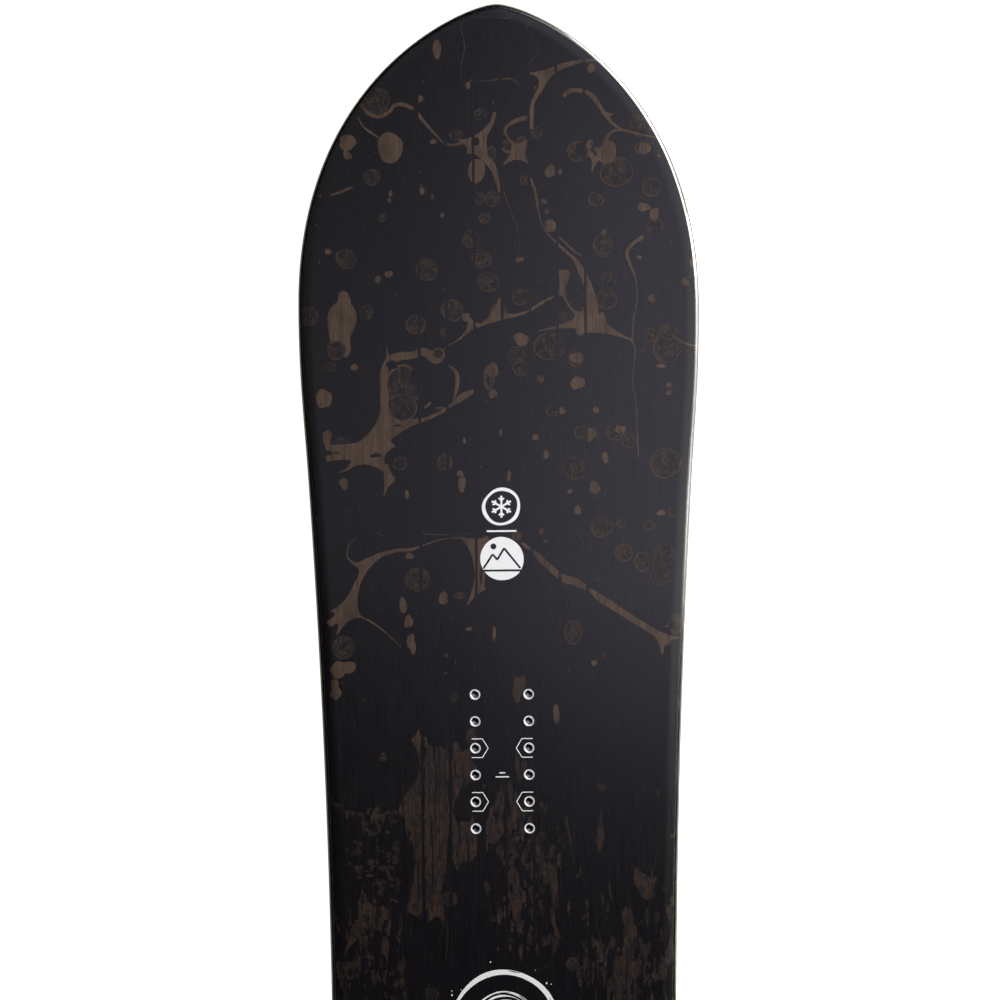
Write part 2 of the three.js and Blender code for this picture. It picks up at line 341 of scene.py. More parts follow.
def link(mesh, name):
    obj = bpy.data.objects.new(name, mesh)
    bpy.context.scene.collection.objects.link(obj)
    return obj


def mesh_piece(name, points_mm, faces, material):
    mesh = bpy.data.meshes.new(name)
    mesh.from_pydata([tuple(p) for p in np.asarray(points_mm) * MM], [], faces)
    mesh.materials.append(material)
    return link(mesh, name)


def smooth_by_angle(obj, degrees=28):
    """Smooth shading that keeps every edge sharper than the angle."""
    bm = bmesh.new()
    bm.from_mesh(obj.data)
    bmesh.ops.recalc_face_normals(bm, faces=bm.faces)
    limit = math.radians(degrees)
    for face in bm.faces:
        face.smooth = True
    for edge in bm.edges:
        edge.smooth = len(edge.link_faces) == 2 and edge.calc_face_angle(0) < limit
    bm.to_mesh(obj.data)
    bm.free()


def finish_piece(obj, slot, *nodes):
    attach(obj, ROOT)
    if nodes:
        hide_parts(*nodes)


def sheet_piece(name, shape, insets, low, high, material):
    """A full sheet of the board: grid lines at the given insets, and its two faces at two levels."""
    rail, inward = shape.rail, shape.inward(shape.rail)
    count, lines = len(rail), len(insets)
    points, rows = [], []
    for i in range(count):
        tip = i in (0, count - 1)
        y = rail[i, 1] + inward[i, 1] * np.array(insets)
        x = np.zeros(lines) if tip else rail[i, 0] + inward[i, 0] * np.array(insets)
        bottom = [shape.height(low(d, v), v) for d, v in zip(insets, y)]
        top = [shape.height(high(d, v), v) for d, v in zip(insets, y)]
        first = len(points) // 2
        order = range(lines) if tip else [*range(lines), *range(lines - 1, -1, -1)]
        sides = [1] * lines if tip else [-1] * lines + [1] * lines
        for k, side in zip(order, sides):
            points += [(side * x[k], y[k], bottom[k]), (side * x[k], y[k], top[k])]
        ids = list(range(first, first + len(sides)))
        rows.append(ids + ids[::-1] if tip else ids)
    faces = []
    across = 2 * lines
    for near, far in zip(rows, rows[1:]):
        for j in range(across - 1):
            around = (near[j], near[j + 1], far[j + 1], far[j])
            corners = list(dict.fromkeys(around))
            if len(corners) > 2:
                faces.append([2 * c + 1 for c in corners])
                faces.append([2 * c for c in reversed(corners)])
        for a, b in ((far[0], near[0]), (near[-1], far[-1])):
            faces.append([2 * a, 2 * b, 2 * b + 1, 2 * a + 1])
    obj = mesh_piece(name, points, faces, material)
    smooth_by_angle(obj)
    return obj


def rail_path(shape, from_y, to_y, side):
    """Stations along one rail between two places: x, y and the inward direction, exact at both ends."""
    rail, inward = shape.rail, shape.inward(shape.rail)
    inside = (rail[:, 1] > from_y + 0.5) & (rail[:, 1] < to_y - 0.5)
    y = np.concatenate([[from_y], rail[inside, 1], [to_y]])
    stations = [np.interp(y, rail[:, 1], v) for v in (rail[:, 0], *inward.T)]
    x, across, along = stations
    if to_y >= shape.tip:
        x[-1], across[-1], along[-1] = 0, 0, -1
    if from_y <= -shape.tip:
        x[0], across[0], along[0] = 0, 0, 1
    return np.stack([side * x, y, side * across, along], 1)


def swept_piece(name, shape, profile, path, material, sharp=28):
    """A bar along the rail. profile gives a closed loop of (inset, level) pairs at a place along Y."""
    points, size = [], len(profile(0.0))
    for x, y, across, along in path:
        for inset, level in profile(y):
            py = y + along * inset
            points.append((x + across * inset, py, shape.height(level, py)))
    faces = []
    for i in range(len(path) - 1):
        for k in range(size):
            n = (k + 1) % size
            a, b = i * size, (i + 1) * size
            faces.append([a + k, a + n, b + n, b + k])
    faces.append(list(range(size)))
    faces.append(list(range((len(path) - 1) * size, len(path) * size))[::-1])
    obj = mesh_piece(name, points, faces, material)
    smooth_by_angle(obj, sharp)
    return obj


# ---------------------------------------------------------------- materials


class Nodes:
    """Short hand for building one material's nodes."""

    def __init__(self, name, roughness, metallic=0.0, specular=0.5):
        self.material = bpy.data.materials.new(name)
        self.material.use_nodes = True
        self.tree = self.material.node_tree
        self.shader = self.tree.nodes["Principled BSDF"]
        self.shader.inputs["Roughness"].default_value = roughness
        self.shader.inputs["Metallic"].default_value = metallic
        self.shader.inputs["Specular IOR Level"].default_value = specular
        self.place = self.tree.nodes.new("ShaderNodeTexCoord").outputs["Object"]

    def noise(self, scale, detail=2.0, rough=0.5, offset=(0, 0, 0)):
        """Noise on object coordinates, with its own scale (per metre) along each axis."""
        mapping = self.tree.nodes.new("ShaderNodeMapping")
        mapping.inputs["Scale"].default_value = scale
        mapping.inputs["Location"].default_value = offset
        self.tree.links.new(self.place, mapping.inputs["Vector"])
        noise = self.tree.nodes.new("ShaderNodeTexNoise")
        noise.inputs["Scale"].default_value = 1.0
        noise.inputs["Detail"].default_value = detail
        noise.inputs["Roughness"].default_value = rough
        self.tree.links.new(mapping.outputs["Vector"], noise.inputs["Vector"])
        return noise.outputs["Fac"]

    def cells(self, scale, feature="DISTANCE_TO_EDGE", warp=None):
        mapping = self.tree.nodes.new("ShaderNodeMapping")
        mapping.inputs["Scale"].default_value = scale
        self.tree.links.new(warp or self.place, mapping.inputs["Vector"])
        cells = self.tree.nodes.new("ShaderNodeTexVoronoi")
        cells.feature = feature
        cells.inputs["Scale"].default_value = 1.0
        self.tree.links.new(mapping.outputs["Vector"], cells.inputs["Vector"])
        return cells.outputs["Distance"]

    def ramp(self, value, stops):
        """A colour ramp: stops are (position, colour) pairs."""
        ramp = self.tree.nodes.new("ShaderNodeValToRGB")
        elements = ramp.color_ramp.elements
        while len(elements) < len(stops):
            elements.new(0.5)
        for element, (position, colour) in zip(elements, stops):
            element.position = position
            element.color = (*colour, 1)
        self.tree.links.new(value, ramp.inputs["Fac"])
        return ramp.outputs["Color"]

    def levels(self, value, low, high, to_low=0.0, to_high=1.0):
        node = self.tree.nodes.new("ShaderNodeMapRange")
        for name, number in (
            ("From Min", low),
            ("From Max", high),
            ("To Min", to_low),
            ("To Max", to_high),
        ):
            node.inputs[name].default_value = number
        self.tree.links.new(value, node.inputs["Value"])
        return node.outputs["Result"]

    def blend(self, factor, a, b, mode="MIX"):
        node = self.tree.nodes.new("ShaderNodeMix")
        node.data_type = "RGBA"
        node.blend_type = mode
        for socket, value in (("Factor", factor), ("A", a), ("B", b)):
            target = [s for s in node.inputs if s.name == socket and s.enabled][0]
            if isinstance(value, bpy.types.NodeSocket):
                self.tree.links.new(value, target)
            elif isinstance(value, float):
                target.default_value = value
            else:
                target.default_value = (*value, 1)
        return [s for s in node.outputs if s.enabled][0]

    def colour(self, socket):
        if isinstance(socket, bpy.types.NodeSocket):
            self.tree.links.new(socket, self.shader.inputs["Base Color"])
        else:
            self.shader.inputs["Base Color"].default_value = (*socket, 1)

    def roughness(self, socket):
        self.tree.links.new(socket, self.shader.inputs["Roughness"])

    def bump(self, height, distance, strength=1.0):
        """A bump over whatever bump came before it. distance is in metres."""
        node = self.tree.nodes.new("ShaderNodeBump")
        node.inputs["Distance"].default_value = distance
        node.inputs["Strength"].default_value = strength
        self.tree.links.new(height, node.inputs["Height"])
        taken = self.shader.inputs["Normal"]
        if taken.is_linked:
            self.tree.links.new(taken.links[0].from_socket, node.inputs["Normal"])
        self.tree.links.new(node.outputs["Normal"], taken)


def shade(colour, by):
    return tuple(min(1.0, c * by) for c in colour)


def lacquer_material():
    """Black lacquer wiped over open-grained veneer: fine lengthwise lines and pores, and faint haze."""
    ink = tuple(settings("topsheet").lacquer)
    n = Nodes("black_lacquer", 0.3)
    grain = n.noise((950, 34, 34), detail=4, rough=0.7)
    pores = n.noise((1500, 130, 130), detail=2, rough=0.6)
    haze = n.noise((26, 20, 20), detail=4, rough=0.6)
    lines = n.ramp(grain, [(0.36, shade(ink, 0.86)), (0.52, ink), (0.7, shade(ink, 1.25))])
    dusty = n.blend(n.levels(pores, 0.64, 0.74, 0.0, 0.7), lines, shade(ink, 3.6))
    n.colour(n.blend(n.levels(haze, 0.42, 0.75, 0.0, 0.5), dusty, shade(ink, 1.4)))
    n.roughness(n.levels(grain, 0.35, 0.65, 0.27, 0.34))
    n.bump(grain, 0.00012, 0.28)
    n.bump(haze, 0.0003, 0.2)
    return n.material


def veneer_material(name="bare_veneer", tone=1.0):
    """Brown veneer under clear lacquer, grain lengthwise, stained darker behind the front pack."""
    base = shade(settings("topsheet").veneer, tone)
    ink = tuple(settings("topsheet").lacquer)
    n = Nodes(name, 0.4)
    figure = n.noise((210, 9, 9), detail=4, rough=0.65)
    pores = n.noise((950, 55, 55), detail=4, rough=0.7)
    patch = n.noise((70, 45, 45), detail=4, offset=(3, 1, 0))
    blotch = n.noise((330, 150, 150), detail=5, rough=0.7)
    wood = n.ramp(
        figure, [(0.3, shade(base, 0.6)), (0.45, base), (0.58, shade(base, 1.3)), (0.72, shade(base, 0.75))]
    )
    dark = n.blend(n.levels(pores, 0.5, 0.68, 0.0, 0.85), wood, shade(base, 0.28))
    fresh = n.blend(n.levels(patch, 0.48, 0.68, 0.0, 0.6), dark, shade(base, 0.42))
    stained = n.blend(1.0, fresh, (0.45, 0.365, 0.315), "MULTIPLY")
    ragged = n.blend(n.levels(blotch, 0.48, 0.56, 0.0, 0.9), stained, shade(ink, 1.5))
    along = n.tree.nodes.new("ShaderNodeSeparateXYZ")
    n.tree.links.new(n.place, along.inputs[0])
    n.colour(n.blend(n.levels(along.outputs["Y"], 0.255, 0.225), fresh, ragged))
    n.bump(pores, 0.00008, 0.6)
    return n.material


def mottled_material():
    """Lacquer that has bubbled and thinned: crackle and swirls of brown in the black."""
    ink, brown = (tuple(getattr(settings("topsheet"), k)) for k in ("lacquer", "veneer"))
    n = Nodes("thinned_lacquer", 0.36)
    swirl = n.noise((520, 430, 430), detail=4, rough=0.7)
    rings = n.cells((430, 380, 380))
    patch = n.noise((170, 140, 140), detail=3)
    thin = n.ramp(
        swirl,
        [
            (0.4, shade(ink, 1.2)),
            (0.5, shade(brown, 0.1)),
            (0.55, shade(brown, 0.7)),
            (0.6, shade(brown, 0.14)),
            (0.75, shade(brown, 0.8)),
        ],
    )
    edges = n.blend(n.levels(rings, 0.02, 0.09, 0.8, 0.0), thin, shade(brown, 0.75))
    n.colour(n.blend(n.levels(patch, 0.4, 0.58, 0.1, 0.95), shade(ink, 1.3), edges))
    n.bump(swirl, 0.0003, 0.6)
    return n.material


def print_material():
    white = tuple(settings("topsheet").print_white)
    n = Nodes("screen_print", 0.5)
    wear = n.noise((900, 300, 300), detail=3, rough=0.7)
    n.colour(n.ramp(wear, [(0.25, shade(white, 0.75)), (0.4, white)]))
    n.bump(wear, 0.00002, 0.3)
    return n.material


def black_plastic_material():
    """Sidewalls and tip fillers: black plastic, machined lengthwise and polished."""
    n = Nodes("black_sidewall_plastic", 0.16, specular=1.0)
    n.shader.inputs["IOR"].default_value = 2.0
    cut = n.noise((900, 40, 900), detail=3)
    scuff = n.noise((60, 60, 60), detail=4, rough=0.65)
    n.colour(n.ramp(scuff, [(0.3, (0.006, 0.006, 0.007)), (0.75, (0.017, 0.017, 0.019))]))
    n.roughness(n.levels(scuff, 0.35, 0.75, 0.1, 0.2))
    n.bump(cut, 0.00001, 0.3)
    return n.material


def steel_edge_material():
    n = Nodes("ground_steel", 0.28, metallic=0.3)
    ground = n.noise((2600, 90, 2600), detail=3, rough=0.6)
    stain = n.noise((45, 30, 45), detail=4)
    steel = n.ramp(ground, [(0.3, (0.36, 0.35, 0.34)), (0.7, (0.62, 0.61, 0.6))])
    n.colour(n.blend(n.levels(stain, 0.55, 0.8, 0.0, 0.4), steel, (0.3, 0.24, 0.19)))
    n.roughness(n.levels(ground, 0.3, 0.7, 0.2, 0.42))
    n.bump(ground, 0.00002, 0.5)
    return n.material


def insert_material(mouth):
    """Stainless steel with painted light: the ring at the mouth is coloured near white and barely metallic,
    a painted highlight standing in for its reflection, and the tapped thread below it is coloured far
    darker than steel, a painted shade in the recess.
    """
    n = Nodes("turned_stainless", 0.4)
    turned = n.noise((900, 900, 900), detail=2)
    height = n.tree.nodes.new("ShaderNodeSeparateXYZ")
    n.tree.links.new(n.place, height.inputs[0])
    # Mask of the ring at the mouth, by height: above it goes the painted highlight, below it the painted
    # shade.
    painted_highlight_mask = n.levels(height.outputs["Z"], mouth - 0.0011, mouth - 0.0006)
    # Painted shade: the thread's steel is coloured much darker than steel, as the recess looks in shade.
    painted_shade_bore = n.ramp(turned, [(0.3, (0.17, 0.16, 0.155)), (0.7, (0.28, 0.265, 0.25))])
    # Painted highlight: the mouth's ring is coloured near white, standing in for the light it reflects.
    ring = n.ramp(turned, [(0.3, (0.8, 0.8, 0.8)), (0.7, (0.92, 0.92, 0.92))])
    n.colour(n.blend(painted_highlight_mask, painted_shade_bore, ring))
    n.tree.links.new(n.levels(painted_highlight_mask, 0.0, 1.0, 1.0, 0.15), n.shader.inputs["Metallic"])
    n.roughness(n.levels(painted_highlight_mask, 0.0, 1.0, 0.18, 0.45))
    return n.material


def base_material():
    """Sintered black polyethylene with a stone-ground structure: fine lengthwise grooves."""
    n = Nodes("ground_polyethylene", 0.42)
    grooves = n.noise((3000, 35, 35), detail=2, rough=0.6)
    wax = n.noise((22, 9, 9), detail=4)
    n.colour(n.ramp(wax, [(0.3, (0.008, 0.008, 0.009)), (0.75, (0.019, 0.019, 0.02))]))
    n.roughness(n.levels(wax, 0.3, 0.7, 0.34, 0.52))
    n.bump(grooves, 0.00005, 0.7)
    return n.material


def laminate_material():
    """Glass cloth in clear resin: strands crossing at two pitches."""
    n = Nodes("glass_laminate", 0.34)
    warp = n.noise((1300, 30, 30), detail=1)
    weft = n.noise((30, 1300, 30), detail=1)
    strands = n.blend(0.5, n.ramp(warp, [(0.4, (0.3, 0.28, 0.19)), (0.6, (0.5, 0.47, 0.34))]),
                      n.ramp(weft, [(0.4, (0.33, 0.31, 0.22)), (0.6, (0.55, 0.52, 0.38))]))
    n.colour(strands)
    n.bump(warp, 0.00004, 0.5)
    return n.material


def wood_material(name, pale, dark):
    """Planed strips for the core, grain lengthwise."""
    n = Nodes(name, 0.6)
    figure = n.noise((260, 9, 90), detail=4, rough=0.6)
    pores = n.noise((2400, 110, 900), detail=2)
    wood = n.ramp(figure, [(0.3, dark), (0.5, pale), (0.72, shade(pale, 1.12))])
    n.colour(n.blend(n.levels(pores, 0.58, 0.72, 0.0, 0.5), wood, shade(dark, 0.6)))
    n.bump(pores, 0.0001, 0.5)
    return n.material


def rubber_material():
    n = Nodes("bonding_foil_rubber", 0.8)
    crumb = n.noise((1800, 1800, 1800), detail=3)
    n.colour(n.ramp(crumb, [(0.3, (0.012, 0.012, 0.012)), (0.7, (0.028, 0.028, 0.028))]))
    n.bump(crumb, 0.00005, 0.5)
    return n.material


# ---------------------------------------------------------------- marbling, drawn in mm
# Places are (x, s): x to the right of the centre line, s behind the nose's tip.


def rounded(points, per=6):
    """Points on a smooth curve through open control points of any number of values."""
    p = np.array(points, float)
    p = np.concatenate([[2 * p[0] - p[1]], p, [2 * p[-1] - p[-2]]])
    out = []
    for i in range(1, len(p) - 2):
        for t in np.linspace(0, 1, per, endpoint=False):
            a, b, c, d = p[i - 1 : i + 3]
            out.append(0.5 * (2 * b + (c - a) * t + (2 * a - 5 * b + 4 * c - d) * t**2
                              + (3 * b - 3 * c + d - a) * t**3))
    out.append(p[-2])
    return np.array(out)


def vein(*points, per=6):
    """A strip of changing width through (x, s, width) places, with rounded ends."""
    line = rounded(points, per)
    along = np.gradient(line[:, :2], axis=0)
    along /= np.maximum(np.linalg.norm(along, axis=1), 1e-6)[:, None]
    across = np.stack([-along[:, 1], along[:, 0]], 1)
    half = np.maximum(line[:, 2:3], 0.25) / 2
    right, left = line[:, :2] + across * half, line[:, :2] - across * half
    return np.concatenate([right, left[::-1]])


def blob(x, s, across, along, seed=0, wobble=0.12, steps=26):
    """A drop with half sizes across and along the board, and an uneven rim."""
    pick = random.Random(seed * 7919 + 13)
    phases = [pick.uniform(0, math.tau) for _ in range(3)]
    angle = np.linspace(0, math.tau, steps, endpoint=False)
    radius = 1 + wobble * (
        0.5 * np.sin(2 * angle + phases[0])
        + 0.35 * np.sin(3 * angle + phases[1])
        + 0.2 * np.sin(5 * angle + phases[2])
    )
    return np.stack([x + across * radius * np.cos(angle), s + along * radius * np.sin(angle)], 1)


def web(x, s, arms, slack=0.12, per=7):
    """Veins that meet at a place and flare into it. Each arm ends at (x, s, width)."""
    ordered = sorted(arms, key=lambda a: math.atan2(a[1] - s, a[0] - x))
    ends = []
    for ax, as_, width in ordered:
        d = np.array([ax - x, as_ - s], float)
        d /= np.linalg.norm(d)
        side = np.array([-d[1], d[0]]) * max(width, 0.3) / 2
        ends.append((np.array([ax, as_]) - side, np.array([ax, as_]) + side))
    outline = []
    for i, (_, leave) in enumerate(ends):
        arrive = ends[(i + 1) % len(ends)][0]
        pull = np.array([x, s]) + slack * ((leave + arrive) / 2 - (x, s))
        for t in np.linspace(0, 1, per):
            outline.append(leave * (1 - t) ** 2 + 2 * pull * t * (1 - t) + arrive * t**2)
    return np.array(outline)


def loop(*points):
    """A closed outline through given points, slightly rounded."""
    return rounded([*points, points[0]], 3)[:-1]


def inside(outline, x, y):
    """Which points lie inside an outline, by winding number."""
    winding = np.zeros(len(x), int)
    for (x0, y0), (x1, y1) in zip(outline, np.roll(outline, -1, axis=0)):
        cross = (x1 - x0) * (y - y0) - (x - x0) * (y1 - y0)
        winding += ((y0 <= y) & (y1 > y) & (cross > 0)).astype(int)
        winding -= ((y0 > y) & (y1 <= y) & (cross < 0)).astype(int)
    return winding != 0


def torn(outline, seed, across=1.1, along=3.4, step=3.0):
    """An outline with its edge torn lengthwise, as lacquer lifts along the grain."""
    pick = random.Random(seed)
    p = np.asarray(outline, float)
    out = []
    for a, b in zip(p, np.roll(p, -1, axis=0)):
        pieces = max(1, int(np.linalg.norm(b - a) / step))
        for t in np.linspace(0, 1, pieces, endpoint=False):
            shift = (pick.gauss(0, across * 0.6), pick.gauss(0, along * 0.6))
            out.append(a + (b - a) * t + shift)
    return np.array(out)


class Marbling:
    """Patches in painting order: a later patch covers an earlier one."""

    def __init__(self):
        self.patches = []

    def add(self, finish, outline):
        self.patches.append((finish, np.asarray(outline, float)))

    def brown(self, *outlines):
        for outline in outlines:
            self.add("veneer", outline)

    def worn(self, *outlines):
        """Torn patches of bare veneer, with slivers of lacquer left along the grain."""
        for i, outline in enumerate(outlines):
            self.add("veneer", torn(outline, i + len(outline)))
            low, high = np.min(outline, axis=0), np.max(outline, axis=0)
            pick = random.Random(round(low[1] * 3 + low[0]))
            for _ in range(int((high - low).prod() / 70)):
                x, s = pick.uniform(low[0], high[0]), pick.uniform(low[1], high[1])
                if inside(np.asarray(outline, float), np.array([x]), np.array([s]))[0]:
                    run, lean = pick.uniform(2, 13), pick.uniform(-0.8, 0.8)
                    finish = pick.choice(("lacquer", "lacquer", "rim", "mottled"))
                    middle = (x + lean, s, pick.uniform(0.5, 1.6))
                    self.add(finish, vein((x, s - run, 0.3), middle, (x, s + run, 0.3), per=3))

    def bubble(self, x, s, r, tall=1.0, rim=0.5, lean=(0.0, 0.0), seed=None, finish="rim"):
        """A ring with a mottled inside. lean moves the inside off centre, which thickens one side."""
        seed = round(x * 31 + s * 17) if seed is None else seed
        steps = int(np.clip(r * 3, 14, 40))
        self.add(finish, blob(x, s, r, r * tall, seed, 0.07, steps))
        inner = r - rim
        self.add("mottled", blob(x + lean[0], s + lean[1], inner, inner * tall, seed, 0.07, steps))
        pick = random.Random(seed)
        for k in range(int(r * 1.3)):
            a, d = pick.uniform(0, math.tau), inner * pick.uniform(0.1, 0.8)
            fleck = (x + d * math.cos(a), s + d * math.sin(a) * tall)
            size = pick.uniform(0.3, 0.9)
            self.add(pick.choice(("lacquer", "lacquer", "rim")), blob(*fleck, size, size * 1.6, k, 0.3, 8))

    def island(self, *args, **options):
        self.add("lacquer", blob(*args, **options))


def nose_veins(m):
    """The large veins and drops of the nose half, from the tip towards the waist."""
    # round the tip
    m.add("rim", vein((-27, 14, 0.4), (-24, 32, 0.7), (-26.5, 45, 0.5), (-26.5, 56, 0.4)))
    m.add("rim", vein((26, 13, 1.2), (22, 21, 0.6), (31, 34, 0.4), (25, 43, 0.5), (24, 50, 0.8)))
    m.add("rim", vein((-25, 58, 0.3), (-12, 57.5, 0.5), (4, 56, 0.9), (11, 56, 1.0), (19, 62, 0.3)))
    m.add("rim", vein((-17, 9.5, 0.3), (2, 10.5, 0.5), (9, 11, 0.9), (12, 8, 0.5)))
    m.brown(
        blob(-44.5, 33.4, 3.0, 7.6, 1, 0.06),
        web(38, 51, [(24.5, 52, 1.6), (47, 47, 4.6), (31, 66, 3.6)], slack=0.3),
        vein((47, 47, 4.4), (56, 44.5, 3.2), (64.5, 43, 2.2), (75, 42, 1.6)),
        vein((31, 65, 3.4), (26.5, 74, 2.8), (25.3, 84, 3.6), (25.4, 93, 2.8)),
        blob(70, 48.5, 2.8, 3.5, 2),
        vein((49.5, 69, 3.0), (54.5, 64.8, 3.3), (63.4, 65, 3.0), (70.7, 68.7, 3.4), (76.5, 77, 3.2)),
        web(80, 84, [(76, 76, 3.0), (86.5, 82, 0.6), (86, 89.5, 2.6), (77, 80.5, 0.5)], slack=0.2),
        vein((85.5, 89, 2.4), (91, 93, 1.7), (98, 95.4, 1.8), (108, 98, 1.2), (119.5, 100.4, 1.0)),
        vein((98, 95.2, 1.6), (88, 94.4, 1.6), (83.5, 97, 2.4), (81, 101, 2.6), (78.6, 104, 2.0)),
        blob(81.5, 110.8, 6.9, 9.0, 3, 0.16),
        blob(68.8, 104.8, 2.3, 3.8, 4),
        blob(69.5, 112.3, 2.4, 2.6, 5, 0.3),
        blob(73.6, 108.6, 1.8, 1.5, 6),
        web(73.4, 116, [(70, 125, 1.0), (69, 113, 2.0), (76.5, 114, 2.4)], slack=0.4),
    )
    # the left arc, and the web that it runs into
    m.brown(
        vein((-102, 74, 1.2), (-96, 80.5, 2.6), (-88, 83, 2.8), (-80.5, 79.5, 2.6), (-76, 74.6, 2.8),
             (-69.5, 74.3, 2.8), (-62, 77.5, 3.0)),
        vein((-60.5, 79, 2.2), (-55, 86.5, 2.6), (-48, 94.5, 1.8), (-41, 102, 1.4), (-34, 104.4, 1.6),
             (-27, 103, 2.4)),
        web(-18.5, 103.5, [(-28.5, 101.5, 2.0), (-5, 90, 2.6), (-2, 124, 4.2),
                           (-22, 111, 2.0)], slack=0.3),
        vein((-7.5, 93.5, 4.6), (-4, 88, 3.0), (-2.2, 82, 2.8), (-2, 80, 1.6)),
        vein((-8.5, 113, 6.0), (-3.5, 121, 4.6), (-0.5, 131, 3.2), (1.3, 140, 1.6)),
        blob(-15.8, 123.8, 6.6, 9.0, 7, 0.1),
        web(16.5, 108, [(4, 119.5, 1.0), (22.4, 118.5, 1.2), (22.4, 101.5, 2.6),
                        (9, 103, 3.0)], slack=0.35),
        vein((22.4, 84.5, 3.4), (14.5, 86.5, 3.2), (7.8, 90.3, 2.6), (5.8, 95, 2.4), (9, 101, 1.4)),
        blob(8.3, 105.6, 5.4, 5.0, 8),
        blob(-80, 106, 9.0, 12.2, 9, 0.12),
        blob(-111.5, 102, 6.8, 5.5, 10, 0.2),
        blob(-112, 111.5, 3.0, 3.4, 11, 0.4),
        vein((-104, 83, 0.8), (-100, 90, 1.4), (-94.5, 94.5, 1.6), (-88.5, 98.5, 1.0)),
        vein((-125, 141, 0.8), (-118, 139, 2.2), (-112, 136.5, 2.0), (-108, 135, 0.8)),
        vein((24.6, 129.5, 1.4), (28.4, 141.5, 2.4), (30.2, 154.5, 1.4), (34.3, 167.4, 1.0),
             (44.8, 179, 1.8), (56.5, 189.5, 2.6)),
        vein((108.5, 173.5, 3.4), (100.5, 178.6, 2.4), (96, 184.5, 2.8), (97.3, 192, 2.2),
             (102, 204, 0.9), (103.3, 218, 0.8), (100.4, 236, 0.8), (99.2, 250, 1.0)),
        blob(39, 165, 5.0, 4.4, 12, 0.2),
        blob(108.5, 151.5, 4.0, 3.6, 13, 0.3),
        blob(116.5, 157, 3.6, 4.4, 14, 0.25),
    )
    m.add("rim", vein((4.3, 139, 0.8), (8.4, 151, 0.6), (14, 166, 0.4), (16, 180, 0.4), (12, 192, 0.5)))
    # the right-hand web
    m.brown(
        vein((56.5, 189, 2.6), (61.5, 198, 5.0), (66.6, 210, 6.0), (69.6, 224, 8.6), (70, 238, 9.0)),
        web(69, 236, [(60, 246, 3.0), (30, 243, 1.0), (80, 235, 4.0), (66, 216, 6.0),
                      (56, 229, 2.4)], slack=0.25),
        web(70, 238, [(99, 250.5, 1.2), (58, 245, 4.0), (78, 230, 3.0)], slack=0.3),
        vein((57, 230, 2.6), (52.5, 224.5, 1.6), (49.3, 218.5, 2.4), (48.2, 212, 4.0)),
        loop((44.6, 198), (52.5, 198.5), (52, 206), (49.5, 211), (50.5, 217), (44.6, 216), (45.5, 207)),
        vein((99, 250.3, 1.4), (101.5, 259, 0.9), (99.5, 280, 0.8), (102, 301, 0.9), (102.6, 321, 1.2),
             (103.5, 338, 0.6)),
        vein((128, 246, 0.5), (137, 252.4, 1.4), (147, 255.6, 0.9)),
        vein((62, 187, 0.8), (56.5, 184, 1.6), (50, 177.5, 1.2), (45, 173, 0.8)),
    )
    # the middle web
    m.brown(
        web(-3, 234.5, [(-15.8, 239.8, 1.4), (1, 218.5, 1.6), (12, 231.5, 2.4)], slack=0.35),
        vein((11, 231.8, 2.2), (21.9, 228.4, 2.2), (32.3, 222.1, 2.4), (41, 217.5, 1.2)),
        web(-17.6, 239.2, [(-22.5, 233.5, 3.0), (-14, 237.5, 1.4), (-29, 248.5, 1.2)], slack=0.45),
        vein((-28.5, 248, 1.2), (-36, 252.8, 0.9), (-41, 256, 0.7)),
        blob(-24.6, 232.4, 2.6, 3.4, 15, 0.3),
    )
    # the tall drop at the left
    m.brown(
        blob(-117.4, 236, 10.6, 17.5, 16, 0.16),
        blob(-115.2, 219, 5.0, 6.4, 17, 0.12),
        blob(-115, 252, 5.0, 9.0, 18, 0.2),
    )
    m.bubble(-121.5, 256.5, 7.2, rim=1.0, lean=(0.6, -0.4))
    # the big web at the left
    m.brown(
        vein((-84, 252.5, 0.6), (-83.4, 262, 2.0), (-85.6, 273, 6.0), (-86.4, 292, 5.0), (-85, 306, 7.0)),
        web(-79, 314, [(-70.5, 311, 9.5), (-86, 292, 6.0), (-104, 334, 16.0),
                       (-61, 309.5, 4.0)], slack=0.35),
        web(-97, 333, [(-129.5, 328.8, 4.4), (-129.5, 337.2, 4.6), (-112, 343, 2.6), (-83, 322, 17.0),
                       (-85, 347, 3.6)], slack=0.35),
        vein((-110, 342, 2.6), (-115, 345.8, 1.6), (-121, 347.6, 0.6)),
        vein((-129.5, 318.5, 6.0), (-128.8, 325, 5.4), (-127.5, 331, 3.0)),
        web(-83.4, 352, [(-85.5, 342, 4.4), (-78.5, 353, 3.0), (-87, 366.5, 0.6)], slack=0.5),
        vein((-71, 311, 5.4), (-57.7, 309, 3.0), (-45, 303.8, 2.6), (-36.8, 298.5, 2.4),
             (-27, 291.5, 5.0), (-19, 287.5, 2.6)),
        vein((-85, 266, 3.2), (-79.5, 263, 6.4), (-72, 261, 6.0), (-64, 260.5, 5.4), (-56, 258, 6.0),
             (-47, 263.5, 7.5), (-41, 259.5, 3.0)),
        vein((-37.5, 268.5, 1.2), (-32, 274, 2.8), (-31.5, 283, 3.0), (-35, 297, 1.0)),
        vein((-56, 300, 1.0), (-53, 297.5, 2.0), (-51, 295.5, 0.8)),
    )
    m.bubble(-71.6, 283.5, 14.5, tall=1.05, rim=0.9, lean=(1.0, 0.2), finish="veneer")
    m.bubble(-73, 300, 11.8, tall=0.85, rim=1.1, lean=(0.4, -0.6), finish="veneer")
    m.island(-79.8, 267.5, 4.0, 3.4, seed=21)
    m.island(-66.5, 266, 3.6, 1.9, seed=22)
    m.island(-60, 276, 6.5, 7.5, seed=23)
